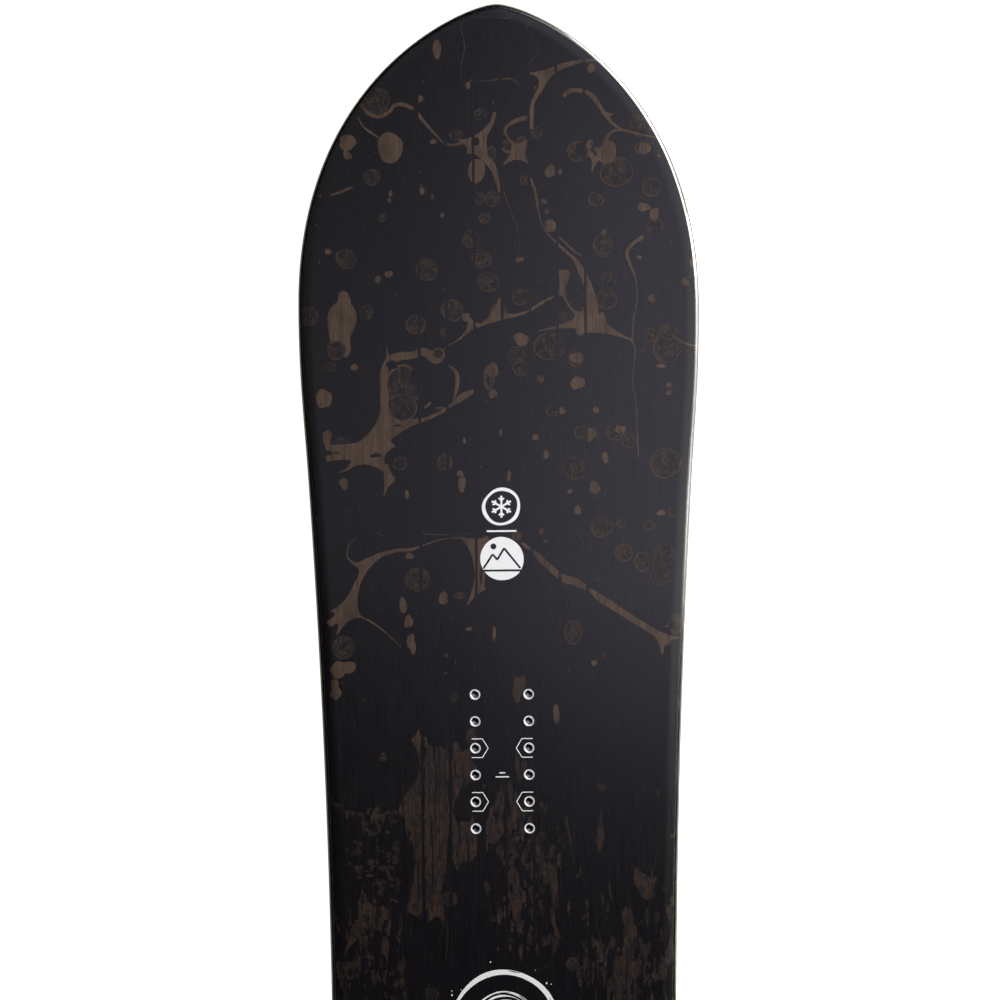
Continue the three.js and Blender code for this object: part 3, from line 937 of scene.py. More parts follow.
    m.bubble(-45.3, 259.6, 4.6, rim=0.9, finish="veneer")
    m.island(-92.5, 335, 3.6, 1.8, seed=24, wobble=0.4)
    m.island(-76, 313, 2.4, 0.8, seed=25)
    m.island(-16, 102, 2.6, 3.4, seed=26)
    m.bubble(7, 105, 4.3, rim=0.5, finish="rim")
    m.bubble(-4.5, 110.5, 3.6, tall=1.4, rim=0.5)


def draw(pick, limits):
    """A number between two limits, or drawn towards a third one."""
    return pick.triangular(*limits) if len(limits) == 3 else pick.uniform(*limits)


SPECKS = ("rim", "mottled", "lacquer")
WOOD_SPECKS = ("rim", "veneer", "mottled", "lacquer")
WORN_FLECKS = (  # count, x, s, half width, half height, finishes, unevenness, tear across and along
    (170, (-20, 50, 20), (598, 706), (0.5, 2.4), (1.2, 6.5), WOOD_SPECKS, 0.4, (0.6, 1.2)),
    (120, (-118, -72, -92), (600, 668), (0.6, 3.4), (0.8, 3.6), SPECKS, 0.5, (0.8, 1.0)),
    (110, (-128, -74), (676, 752), (0.5, 2.2), (1.5, 7), SPECKS, 0.5, (0.8, 1.6)),
    (150, (54, 124), (640, 775, 720), (0.5, 2.2), (1.5, 8), SPECKS, 0.5, (0.8, 1.6)),
)


def waist_veins(m):
    """The veins between the nose and the binding, and the worn streaks behind it."""
    m.brown(
        web(-16.5, 401, [(-30, 396.6, 1.0), (-8.5, 397.5, 4.0), (-17.5, 432, 3.2)], slack=0.3),
        web(-19, 436, [(-17.4, 424, 3.0), (-25.5, 447.5, 0.7), (-11.5, 435, 1.4)], slack=0.5),
        vein((-10.5, 398, 2.6), (-12, 410, 2.0), (-12.8, 424, 2.2), (-13.5, 436, 1.2)),
        vein((-106.5, 395.5, 0.4), (-113, 402, 0.8), (-114.2, 410.5, 1.2), (-108, 416, 2.6),
             (-99, 414.5, 6.0), (-90, 409.5, 3.8), (-77, 406, 2.6), (-67, 405.5, 2.4),
             (-58, 402.5, 1.0), (-44, 398, 0.8), (-29, 396.8, 0.8)),
        web(-100, 416, [(-109, 416.5, 2.0), (-90, 409.8, 3.4), (-106, 428.5, 4.0)], slack=0.4),
        web(-114, 450, [(-106, 428, 4.2), (-129, 461, 5.0), (-104.5, 455.5, 1.8), (-123, 469, 1.0),
                        (-127, 451, 0.8)], slack=0.35),
        vein((-105, 455, 1.6), (-96.4, 459.5, 1.6), (-86.4, 467, 1.0), (-74.4, 479, 0.4)),
        vein((15.6, 401, 2.0), (19.5, 404, 2.6), (24.5, 407.5, 1.6)),
        vein((24, 407.5, 3.0), (30, 413, 4.6), (37, 420, 4.6), (45.6, 427, 5.0), (54, 430, 6.0),
             (64, 435, 4.4)),
        vein((66, 436, 2.6), (73, 442, 5.0), (80, 446.5, 5.6), (92, 454.5, 4.8), (104, 462, 4.6),
             (113, 468, 4.4)),
        web(122, 472, [(111, 466.5, 4.6), (132.5, 473, 1.0), (119.5, 484.5, 2.6),
                       (124, 478, 5.0)], slack=0.4),
        blob(40.6, 529, 2.6, 7.0, 31, 0.15),
        blob(-73, 447, 2.8, 6.2, 32, 0.15),
        blob(-69, 459, 2.8, 5.4, 33, 0.35),
        blob(-67, 475.5, 3.4, 6.6, 34, 0.4),
        blob(-42.8, 442, 4.0, 4.6, 35, 0.15),
        blob(-68, 410.3, 2.8, 2.8, 36, 0.3),
        blob(-5.3, 468.5, 1.4, 5.2, 37, 0.2),
        blob(-119, 494, 8.5, 6.5, 38, 0.4),
        blob(-124, 510, 4.5, 6.5, 39, 0.45),
    )
    m.add("rim", vein((-57, 391, 0.8), (-56, 394, 1.2), (-36, 394.5, 0.5), (-19, 393.5, 0.5)))
    m.add("rim", blob(12.6, 509, 5.0, 8.5, 40, 0.45))
    # worn streaks behind the binding
    m.worn(
        loop((-68, 545), (-62, 560), (-63, 578), (-72, 587), (-77, 600), (-73, 614), (-68, 625),
             (-65, 642), (-69, 660), (-72, 674), (-60.6, 675.5), (-60.6, 600), (-60.6, 545)),
        loop((-58, 546), (-54.5, 553), (-41, 554), (-39.8, 575), (-39.8, 600), (-40.5, 622),
             (-43, 640), (-45.5, 664), (-44, 684), (-50, 677), (-57.6, 675)),
        loop((-37.4, 552), (-27, 556), (-18, 566), (-23, 577), (-34, 588), (-37.4, 596)),
        loop((-37.4, 604), (-28, 606.5), (-20, 608), (-18.5, 622), (-22, 636), (-31, 640), (-37.4, 639)),
        loop((1, 582), (1.4, 612), (-6, 626), (-13, 622), (-11, 606), (-6, 592)),
        loop((4.2, 580), (10, 588), (13.5, 600), (12, 612), (4.4, 618)),
        loop((4.5, 628), (9, 640), (12, 660), (16, 690), (20.5, 702), (12, 690), (5, 668)),
        vein((22, 612, 3.4), (25, 620, 4.4), (30, 618, 3.0), (33, 622, 1.2)),
        vein((36, 640, 5.0), (38, 660, 6.0), (37, 680, 3.6), (40, 692, 1.4)),
        loop((11, 559), (17, 562), (19, 572), (14, 578), (9.6, 570)),
        vein((27.5, 594, 3.2), (30.5, 600, 2.4), (33.5, 604, 0.8)),
        vein((-126.6, 592, 2.4), (-122, 596.5, 1.6), (-112, 601.5, 0.8), (-97, 603.5, 0.7),
             (-82, 602, 0.9)),
        loop((-107, 664), (-101, 662), (-97, 669), (-86, 678), (-86, 690), (-100, 690), (-111, 697),
             (-119, 706), (-112, 690)),
        loop((-92, 692), (-86, 700), (-87, 712), (-93, 706)),
        vein((-122, 726, 1.2), (-113, 715, 3.0), (-104, 709, 4.0), (-96, 711, 1.6)),
        loop((88, 676), (97, 679), (98, 692), (95, 706), (99, 730), (96, 758), (82, 760), (81, 738),
             (84, 712), (90, 696)),
        blob(92, 681, 4.6, 6.6, 41, 0.2),
        vein((73, 600, 0.8), (73.6, 612, 3.2), (73, 622, 6.2), (71, 630, 1.6)),
        vein((126.6, 664, 3.6), (127.2, 684, 4.0), (124.5, 706, 5.4), (116, 722, 5.0), (104, 731, 3.4),
             (97, 742, 1.0)),
        web(74, 706, [(64, 694, 1.0), (79, 702, 2.0), (73, 728, 7.0), (69, 712, 1.0)], slack=0.5),
        vein((62, 668, 0.5), (62.5, 682, 0.8), (66, 697, 1.2), (74, 706, 2.0)),
        loop((96, 640), (104, 646), (115, 650), (114, 658), (106, 668), (98, 655)),
    )
    m.add("rim", vein((-43, 678, 0.6), (-41.6, 693, 0.9), (-43.5, 713, 0.6)))
    m.add("rim", vein((47, 606, 2.6), (50, 622, 1.4), (53, 640, 0.7)))
    pick = random.Random(5)
    for count, across, along, half_width, half_height, finishes, uneven, tear in WORN_FLECKS:
        for _ in range(count):
            x, s = draw(pick, across), draw(pick, along)
            width, height = pick.uniform(*half_width), pick.uniform(*half_height)
            finish = pick.choice(finishes)
            fleck = blob(x, s, width, height, pick.random(), uneven, 10)
            m.add(finish, torn(fleck, x, *tear))
    slivers = ((-50, 560, 600, 0.9), (-66, 612, 640, 0.7), (-30, 560, 592, 0.8), (-53, 610, 668, 1.0),
               (-47.5, 556, 640, 0.6), (91, 700, 745, 1.0), (-33, 606, 636, 0.8), (88, 730, 757, 0.8))
    for x, s0, s1, width in slivers:
        m.add("lacquer", vein((x, s0, 0.4), (x + 0.6, (s0 + s1) / 2, width), (x - 0.3, s1, 0.4)))


BUBBLES = (  # x, s, radius, height over width, rim
    (-90, 71, 10.0, 1.0, 0.6), (60, 110, 8.0, 1.0, 1.0), (88.5, 125.4, 12.0, 0.95, 0.9),
    (108, 107.5, 5.8, 0.9, 1.0), (114.4, 137, 7.0, 1.0, 0.8), (73, 145.6, 6.0, 0.85, 0.9),
    (-4, 145, 5.8, 1.0, 0.5), (-14, 144, 5.0, 0.9, 0.5), (-86, 158, 3.0, 1.0, 0.5),
    (-10, 159, 4.4, 1.0, 0.6), (-56, 138, 3.0, 1.0, 0.5), (107, 91, 8.6, 1.0, 0.5),
    (-113, 189, 7.0, 1.0, 0.5), (-12, 190, 7.0, 0.9, 0.7), (78, 180, 7.5, 1.1, 0.7),
    (-31, 97, 5.0, 0.9, 0.4), (-115, 187, 6.4, 0.9, 0.6), (-53.5, 197, 8.4, 1.0, 0.6),
    (-13.7, 187.5, 6.6, 0.8, 0.9), (-7.5, 206.5, 8.0, 0.95, 0.6), (16.6, 218, 6.4, 1.0, 0.6),
    (-34.7, 227.5, 8.0, 1.05, 0.9), (-62, 238, 7.4, 1.0, 0.8), (-0.2, 227.5, 6.0, 1.0, 0.8),
    (80.5, 220, 8.0, 1.0, 0.8), (49, 234.5, 6.2, 0.9, 0.8), (37.5, 254.5, 11.5, 0.95, 0.7),
    (15.6, 271.5, 5.6, 1.0, 0.6), (57.5, 264, 6.0, 1.0, 0.8), (125.5, 257.7, 10.5, 1.0, 0.7),
    (126.6, 244.5, 6.2, 1.0, 0.6), (114, 247, 5.2, 1.0, 0.6), (55.5, 345.8, 8.6, 1.0, 0.6),
    (86, 319.5, 6.4, 1.0, 0.9), (96, 325, 6.2, 1.0, 0.5), (-41, 340.5, 6.2, 1.0, 0.6),
    (-74.5, 341.5, 5.2, 1.0, 0.7), (-7.5, 277.5, 4.6, 2.1, 1.4), (123.4, 342.5, 11.6, 1.0, 0.9),
    (-141, 231, 7.0, 1.0, 0.5), (-62.4, 427.5, 9.4, 0.9, 0.5), (53.6, 468, 7.0, 1.3, 0.8),
    (-31, 440, 4.2, 0.7, 0.5), (75.6, 390, 8.0, 1.0, 0.7), (90, 387, 3.6, 1.0, 0.7),
    (111, 389, 4.2, 0.9, 0.7), (92, 409, 6.6, 1.1, 1.0), (105.5, 416, 6.0, 1.3, 0.8),
    (122, 411, 7.5, 1.1, 0.5), (120, 427, 8.0, 1.0, 0.4), (-118, 478, 8.6, 1.0, 0.4),
    (130, 462, 6.0, 1.2, 0.4), (74, 583.5, 3.0, 1.0, 0.8), (128, 379, 4.0, 1.0, 0.5),
    (20, 131, 3.6, 1.0, 0.5), (29.4, 96, 4.2, 1.1, 0.8), (18, 102, 4.0, 1.0, 0.3),
    (-118, 330, 8.0, 1.0, 0.3), (61, 319, 5.6, 0.9, 0.9), (40, 303, 5.2, 0.8, 0.8),
)

DROPS = (  # x, s, half width, half height
    (-21.5, 60.5, 1.6, 3.0), (-58, 70, 2.6, 3.0), (-47.8, 101.8, 2.4, 2.0), (39, 124.5, 3.6, 5.0),
    (46.5, 125, 1.6, 2.0), (34.5, 147, 2.4, 2.0), (36.3, 154.5, 1.8, 1.8), (-56.3, 138.5, 1.6, 2.4),
    (-80, 140, 1.6, 2.4), (-81, 145, 1.2, 2.0), (-41.5, 156.5, 1.8, 1.8), (-127, 183, 2.4, 2.2),
    (79, 170, 2.4, 2.0), (109.5, 108, 4.2, 4.6), (-90, 204, 2.6, 2.4), (-81.8, 200, 3.0, 2.6),
    (15.6, 190, 3.0, 2.0), (139, 207.5, 2.8, 2.8), (114, 219.4, 2.8, 2.8), (16.6, 249.3, 5.4, 5.0),
    (58.5, 282.2, 5.2, 5.0), (57.5, 263.5, 4.0, 4.4), (126.6, 284, 2.2, 2.2), (126.5, 290, 2.0, 2.0),
    (-108, 269.2, 2.8, 2.6), (-131, 292.5, 5.4, 7.8), (-128.5, 319.5, 3.2, 3.6),
    (-116.4, 356, 3.2, 4.6), (-69.5, 364.5, 1.6, 3.2), (-28.4, 357, 2.6, 6.6), (0.9, 318.5, 1.4, 3.0),
    (-26.4, 324.5, 1.4, 2.2), (72, 302.5, 2.4, 2.4), (45.6, 303, 3.4, 3.0), (78.5, 338, 2.6, 3.8),
    (34.4, 335.5, 2.4, 3.0), (26.6, 322.5, 2.2, 2.4), (67.5, 320.5, 4.6, 4.8), (6.5, 351, 1.4, 4.4),
    (70.5, 360.5, 4.4, 4.4), (52, 363, 2.0, 1.6), (30.6, 392.5, 2.0, 2.2), (57.6, 377, 2.4, 3.8),
    (33, 400, 1.8, 1.4), (-24, 465, 2.4, 1.6), (120, 379.5, 3.0, 2.2), (-5, 272, 4.0, 6.0),
    (30.8, 279, 2.4, 3.2), (90, 317, 4.0, 3.0), (121, 270, 3.4, 1.6), (145, 193, 2.4, 4.0),
    (61, 199, 2.0, 2.4), (105, 189, 1.8, 1.6), (-45, 300, 3.0, 1.0),
)


def scattered(m, length):
    """Small drops and faint bubbles, spread evenly everywhere."""
    look = settings("topsheet")
    pick = random.Random(look.seed)
    for i in range(look.droplets):
        s = pick.uniform(8, length - 8)
        x = pick.uniform(-146, 146)
        r = 0.35 + pick.paretovariate(2.6) * 0.35 - 0.2
        tall = pick.uniform(0.8, 1.5)
        finish = pick.choices(("rim", "mottled", "veneer"), (5, 4, 2))[0]
        m.add(finish, blob(x, s, r, r * tall, i, 0.2, 9))
    for i in range(46):
        s, x = pick.uniform(60, length - 60), pick.uniform(-138, 138)
        r, tall, rim = pick.uniform(2.2, 6.5), pick.uniform(0.85, 1.2), pick.uniform(0.3, 0.6)
        m.bubble(x, s, r, tall, rim, seed=i)


def marbled(shape):
    """All of the topsheet's patches.

    The tail half takes the nose half's, turned end for end and without the smallest specks.
    """
    m = Marbling()
    length = 2 * shape.tip
    scattered(m, length)
    for i, (x, s, r, tall, rim) in enumerate(BUBBLES):
        m.bubble(x, s, r, tall, rim, lean=(0.25 * rim, -0.3 * rim), seed=i)
    for i, (x, s, across, along) in enumerate(DROPS):
        m.brown(blob(x, s, across, along, i, 0.22, 20))
    nose_veins(m)
    waist_veins(m)
    narrower, shorter, overlap, speck = 0.94, 0.97, 14, 3
    first, last, nose_end, tail_start = 30, 760, 790, 792
    turned = []
    for finish, p in m.patches:
        if first < p[:, 1].min() and p[:, 1].max() < last and np.ptp(p, axis=0).max() > speck:
            place = np.stack([-p[:, 0] * narrower, length + overlap - p[:, 1] * shorter], 1)
            if place[:, 1].min() > tail_start:
                turned.append((finish, place))
    m.patches = [(finish, p) for finish, p in m.patches if p[:, 1].mean() < nose_end] + turned
    look = settings("topsheet")
    pitch, half = look.joint_pitch / MM, look.joint_width / MM / 2
    middle_joint, start, end = 2.5, 20, length - 20
    for k in range(-3, 4):
        x = middle_joint + k * pitch
        m.add("lacquer", [(x - half, start), (x + half, start), (x + half, end), (x - half, end)])
    return m.patches


# ---------------------------------------------------------------- printed marks, drawn in mm


def ring(x, s, outer, inner, steps=56, wobble=0.0, seed=0):
    return [blob(x, s, r, r, seed + i, wobble, steps) for i, r in enumerate((outer, inner))]


def bar(x0, s0, x1, s1, width):
    a, b = np.array([x0, s0], float), np.array([x1, s1], float)
    d = (b - a) / np.linalg.norm(b - a)
    side = np.array([-d[1], d[0]]) * width / 2
    return np.array([a + side, a - side, b - side, b + side])


def snow_crystal(x, s, reach, width):
    """Three crossing bars with short barbs."""
    marks = []
    for k in range(6):
        a = math.radians(60 * k + 30)
        d, n = np.array([math.cos(a), math.sin(a)]), np.array([-math.sin(a), math.cos(a)])
        tip = np.array([x, s]) + d * reach
        marks.append(bar(x, s, *tip, width))
        fork = np.array([x, s]) + d * reach * 0.55
        for side in (-1, 1):
            barb = fork + (d + side * n) * reach * 0.24
            marks.append(bar(*fork, *barb, width * 0.8))
    return marks


def hex_bracket(x, s, towards):
    """Three sides of a hexagon round an insert, open on the outer side."""
    out, into, apex, half, width = -2.8, 5.3, 9.5, 6.95, 0.64
    corners = [(out, -half), (into, -half), (apex, 0), (into, half), (out, half)]
    corners = [(x + towards * across, s + along) for across, along in corners]
    return [bar(*a, *b, width) for a, b in zip(corners, corners[1:])]


def printed(shape, packs):
    """Patches of white print, in painting order. 'lacquer' cuts a mark open again."""
    patches = []

    def white(*outlines):
        patches.extend(("print", np.asarray(o)) for o in outlines)

    def cut(*outlines):
        patches.extend(("lacquer", np.asarray(o)) for o in outlines)

    # a ring round a snow crystal, a short bar, and a disc with a mountain line cut from it
    outer, inner = ring(0.8, 374, 14.2, 11.9, wobble=0.05, seed=3)
    white(outer)
    cut(inner)
    white(*snow_crystal(0.8, 374, 8.2, 1.5))
    white(bar(-10.2, 392.2, 11.8, 392.2, 1.3))
    white(blob(0.9, 412.8, 16.2, 16.2, 5, 0.02, 56))
    peaks = [(-13, 420), (-6, 409.5), (-2.6, 413.5), (2.6, 405), (14.6, 420)]
    cut(*[bar(a[0], a[1], b[0], b[1], 1.5) for a, b in zip(peaks, peaks[1:])])
    cut(bar(-13.6, 421.6, 15.2, 421.6, 1.5), blob(-5.4, 403.6, 2.2, 2.2, 6, 0.02, 20))
    # brackets round the reference rows, and a pair of ticks between the columns
    for centre_y, rows in packs:
        pitch = rows / 5
        reference = centre_y - math.copysign(pitch / 2, centre_y)
        s = shape.tip - reference
        for column in (-1, 1):
            for offset in (-pitch, pitch):
                white(*hex_bracket(column * 20, s - offset, -column))
        white(bar(-2.2, s - 1.5, 2.2, s - 1.5, 0.9), bar(-5.0, s + 1.5, 5.0, s + 1.5, 0.9))
    # growth rings in the middle of the board
    x, s = 0.0, 759.0
    radii = ((40, 36.4), (24, 22.6), (21, 19.8), (17.6, 16.6), (14.4, 13), (10.4, 9.6), (7, 5.4))
    for k, (outer, inner) in enumerate(radii):
        big, small = ring(x, s, outer, inner, 72, 0.03, 20 + k)
        white(big)
        cut(small)
    white(blob(x, s, 2.4, 2.4, 30, 0.2, 16))
    pick = random.Random(8)
    for k in range(46):
        a, r = pick.uniform(0, math.tau), pick.gauss(44, 3.2)
        size = pick.uniform(0.3, 0.8)
        white(blob(x + r * math.cos(a), s + r * math.sin(a), size, size, k, 0.3, 8))
    for k in range(30):
        a, r = pick.uniform(0, math.tau), pick.uniform(6, 39)
        length = pick.uniform(1.5, 5)
        p = np.array([x + r * math.cos(a), s + r * math.sin(a)])
        t = np.array([-math.sin(a), math.cos(a)]) * length
        cut(vein((*(p - t), 0.2), (*p, pick.uniform(0.4, 0.9)), (*(p + t), 0.2), per=3))
    return patches


# ---------------------------------------------------------------- topsheet


def outline_at(shape, inset, every=1):
    """The whole board's outline at an inset, as one closed loop."""
    rail, inward = shape.rail[::every], shape.inward(shape.rail)[::every]
    right = rail + inward * inset
    left = right[1:-1][::-1] * (-1, 1)
    return np.concatenate([right, left])


LEVELS = {  # each finish's top face, in mm over the lacquer's, and how deep its body goes
    "veneer": (-0.02, 0.22),
    "rim": (-0.015, 0.22),
    "mottled": (-0.01, 0.22),
    "print": (0.02, 0.22),
}
POCKET_DEPTH = 0.3  # the lacquered sheet is cut away this deep under an inlay
ROLL_LINES = (3.2, 3.9, 4.8, 5.9, 7.3, 9.0, ROLL_INSET)  # the insets of its lines along the rolled rim


class TopsheetPlan:
    """The topsheet's top face cut into triangles, each with its finish."""

    def __init__(self, shape, packs):
        self.shape = shape
        self.points, self.edges = [], []
        rim = outline_at(shape, BEVEL_INSET)
        patches = [(f, self.to_board(p)) for f, p in [*marbled(shape), *printed(shape, packs)]]
        r = TOPSHEET_HOLE
        holes = [("hole", blob(x, y, r, r, 0, 0.0, 32)) for x, y in self.insert_places(packs)]
        patches += holes
        self.add_loop(rim)
        for inset in ROLL_LINES:
            self.add_loop(outline_at(shape, inset))
        self.add_rows()
        plain_count = len(self.points)
        for _, outline in patches:
            self.add_loop(outline)
        points = [Vector(p) for p in self.points]
        found, _, triangles, origins, *_ = geometry.delaunay_2d_cdt(points, self.edges, [], 0, 1e-4, True)
        self.xy = np.array([tuple(p) for p in found])
        self.triangles = np.array(triangles)
        self.plain = {i for i, origin in enumerate(origins) if origin and min(origin) < plain_count}
        self.finish = self.finishes(rim, patches)
        self.rim, self.holes = rim, [outline for _, outline in holes]

    def to_board(self, outline):
        return np.stack([outline[:, 0], self.shape.tip - outline[:, 1]], 1)

    @staticmethod
    def insert_places(packs):
        for centre_y, rows in packs:
            for k in range(6):
                for x in (-20, 20):
                    yield x, centre_y + (k - 2.5) * rows / 5

    def add_loop(self, outline):
        first, count = len(self.points), len(outline)
        self.points += [tuple(p) for p in outline]
        self.edges += [(first + i, first + (i + 1) % count) for i in range(count)]

    def add_rows(self):
        """Lines across the rising nose and tail, so that their curve has enough points."""
        shape = self.shape
        last, step, count = shape.tip - 6, 9.0, 14
        nose = np.arange(shape.tip - shape.nose_kick[0], last, step)
        tail = -np.arange(shape.tip - shape.tail_kick[0], last, step)
        for y in [*nose, *tail, *FULL_CORE]:
            half = np.interp(y, shape.rail[:, 1], shape.rail[:, 0]) - BEVEL_INSET
            across = np.linspace(-half, half, count)
            first = len(self.points)
            self.points += [(x, y) for x in across]
            self.edges += [(first + i, first + i + 1) for i in range(len(across) - 1)]

    def finishes(self, rim, patches):
        """The finish of each triangle: the last patch that holds its middle."""
        middle = self.xy[self.triangles].mean(1)
        names = np.full(len(middle), "outside", dtype="<U8")
        names[inside(rim, middle[:, 0], middle[:, 1])] = "lacquer"
        order = np.argsort(middle[:, 1])
        sorted_y = middle[order, 1]
        for finish, outline in patches:
            low, high = outline.min(0), outline.max(0)
            near = order[slice(*np.searchsorted(sorted_y, (low[1], high[1])))]
            x = middle[near, 0]
            near = near[(x >= low[0]) & (x <= high[0]) & (names[near] != "outside")]
            if len(near):
                held = inside(outline, middle[near, 0], middle[near, 1])
                names[near[held]] = finish
        return names

    def underside(self, solid):
        """A plain face under the solid triangles: their outer and hole edges, filled with few triangles."""
        corners = self.triangles[solid]
        directed = set(zip(corners.ravel().tolist(), np.roll(corners, -1, axis=1).ravel().tolist()))
        edges = [(a, b) for a, b in directed if (b, a) not in directed]
        used = sorted({i for edge in edges for i in edge} | self.plain)
        number = {i: k for k, i in enumerate(used)}
        points = [Vector(self.xy[i]) for i in used]
        edges = [(number[a], number[b]) for a, b in edges]
        _, _, triangles, origins, *_ = geometry.delaunay_2d_cdt(points, edges, [], 0, 1e-6, True)
        found = np.array([used[origin[0]] for origin in origins])[np.array(triangles)]
        x, y = self.xy[found].mean(1).T
        held = inside(self.rim, x, y)
        for hole in self.holes:
            held &= ~inside(hole, x, y)
        return found[held]

    def heights(self, over_top):
        """Height of each point when its level is the topsheet's top plus over_top."""
        x, y = self.xy.T
        return self.top_at(x, y) + over_top * self.shape.kick(y)[1]

    def top_at(self, x, y):
        inset = self.shape.inset(x, y)
        lip = LIP_DROP * np.clip((BEVEL_INSET + LIP_REACH - inset) / LIP_REACH, 0, 1) ** 2
        return self.shape.height(self.shape.topsheet_top(inset, y) - lip, y)

    def normals(self, step=0.15):
        """Exact upward normals of the top face at each point."""
        x, y = self.xy.T
        dx = (self.top_at(x + step, y) - self.top_at(x - step, y)) / (2 * step)
        dy = (self.top_at(x, y + step) - self.top_at(x, y - step)) / (2 * step)
        n = np.stack([-dx, -dy, np.ones(len(x))], 1)
        return n / np.linalg.norm(n, axis=1)[:, None]


def patch_mesh(plan, layers, normals, name, material, underside=None):
    """A closed mesh from the plan: layers gives, for each triangle, the heights of its top and its bottom.

    A layer is an index into heights, or -1 where the piece has nothing. A wall joins two triangles
    whose layers differ. underside, where it is given, is the bottom face's own triangles.
    """
    heights, top, bottom = layers
    count = len(plan.xy)
    points, index, faces, up = [], {}, [], []

    def point(layer, i):
        key = layer * count + i
        if key not in index:
            index[key] = len(points)
            points.append((*plan.xy[i], heights[layer][i]))
        return index[key]

    def between(upper, lower, i):
        """The points at place i between two layers, where other faces have a corner."""
        keys = [layer * count + i for layer in range(upper + 1, lower)]
        return [index[key] for key in keys if key in index]

    edge_side = {}
    for t, (a, b, c) in enumerate(plan.triangles.tolist()):
        if top[t] < 0:
            continue
        faces.append([point(top[t], a), point(top[t], b), point(top[t], c)])
        up.append((a, b, c))
        if underside is None:
            faces.append([point(bottom[t], c), point(bottom[t], b), point(bottom[t], a)])
            up.append(None)
        for edge in ((a, b), (b, c), (c, a)):
            edge_side[edge] = t
    for (a, b), t in edge_side.items():
        other = edge_side.get((b, a))
        low = bottom[t] if other is None else top[other]
        if low == top[t] or (other is not None and heights[low][a] > heights[top[t]][a]):
            continue
        high = top[t]
        faces.append([point(high, b), point(high, a), *between(high, low, a),
                      point(low, a), point(low, b), *between(high, low, b)[::-1]])
        up.append(None)
    floor = int(np.max(bottom))
    for a, b, c in [] if underside is None else underside.tolist():
        faces.append([point(floor, c), point(floor, b), point(floor, a)])
        up.append(None)
    mesh = bpy.data.meshes.new(name)
    mesh.from_pydata([tuple(p) for p in np.array(points) * MM], [], faces)
    mesh.materials.append(material)
    mesh.polygons.foreach_set("use_smooth", [True] * len(faces))
    mesh.update()
    custom = []
    for polygon, corners in zip(mesh.polygons, up):
        if corners is None:
            custom += [polygon.normal.copy()] * polygon.loop_total
        else:
            custom += [Vector(normals[c]) for c in corners]
    mesh.normals_split_custom_set(custom)
    return link(mesh, name)


def make_topsheet(shape, packs):
    """The lacquered sheet, and the inlays that show through its marbling."""
    plan = TopsheetPlan(shape, packs)
    normals = plan.normals()
    solid = ~np.isin(plan.finish, ("outside", "hole"))
    top = plan.heights(0.0)
    body = [top, plan.heights(-POCKET_DEPTH), plan.heights(-TOPSHEET)]
    is_inlay = np.isin(plan.finish, list(LEVELS))
    top_layer = np.where(solid, np.where(is_inlay, 1, 0), -1)
    bottom_layer = np.where(solid, 2, -1)
    sheet = patch_mesh(plan, (body, top_layer, bottom_layer), normals, "lacquered_topsheet",
                       lacquer_material(), plan.underside(solid))
    finish_piece(sheet, "topsheet", "topsheet")
    makers = {
        "veneer": ("bare_veneer", veneer_material),
        "rim": ("bubble_rims", lambda: veneer_material("thinly_covered_veneer", 0.62)),
        "mottled": ("thinned_lacquer", mottled_material),
        "print": ("printed_marks", print_material),
    }
    for finish, (name, material) in makers.items():
        over, depth = LEVELS[finish]
        here = plan.finish == finish
        heights = [plan.heights(over), plan.heights(-depth)]
        layers = (heights, np.where(here, 0, -1), np.where(here, 1, -1))
        finish_piece(patch_mesh(plan, layers, normals, name, material()), "topsheet")


# ---------------------------------------------------------------- inserts


def insert_mesh(low, high, look):
    """One threaded insert with its axis on Z, its flange at the bottom and its mouth at the top, in mm."""
    barrel, flange, flange_height, floor_over = 4.0, 8.0, 1.0, 1.2
    major, pitch = look.thread_radius / MM, look.thread_pitch / MM
    minor, mouth, chamfer = major - 0.54 * pitch, 3.35, 0.45
    bore_top, bore_floor = high - chamfer, low + floor_over
    around = 32
    turns = int((bore_top - bore_floor) / pitch) + 3
    crest = (0.0, 0.15, 1.0, 0.85)
    bm = bmesh.new()
    outer = [(0, low), (flange - 0.15, low), (flange, low + 0.15), (flange, low + flange_height),
             (barrel, low + flange_height), (barrel, high - 0.12), (barrel - 0.12, high), (mouth, high)]
    columns = []
    for j in range(around + 1):
        angle = math.tau * j / around
        column = list(outer)
        for k in range(-4, 4 * turns):
            z = np.clip(bore_top - (k / 4 + j / around) * pitch, bore_floor, bore_top)
            fade = np.clip(min(bore_top - z, z - bore_floor) / (0.6 * pitch), 0, 1)
            column.append((major - (major - minor) * crest[k % 4] * fade, z))
        column += [(0.6, bore_floor - 0.25), (0, bore_floor - 0.3)]
        columns.append([bm.verts.new((r * math.cos(angle), r * math.sin(angle), z)) for r, z in column])
    for left, right in zip(columns, columns[1:]):
        for k in range(len(left) - 1):
            bm.faces.new((left[k], right[k], right[k + 1], left[k + 1]))
    bmesh.ops.remove_doubles(bm, verts=bm.verts, dist=1e-4)
    bmesh.ops.dissolve_degenerate(bm, edges=bm.edges, dist=1e-4)
    bmesh.ops.recalc_face_normals(bm, faces=bm.faces)
    bmesh.ops.scale(bm, vec=(MM, MM, MM), verts=bm.verts)
    mesh = bpy.data.meshes.new("threaded_insert")
    bm.to_mesh(mesh)
    bm.free()
    return mesh


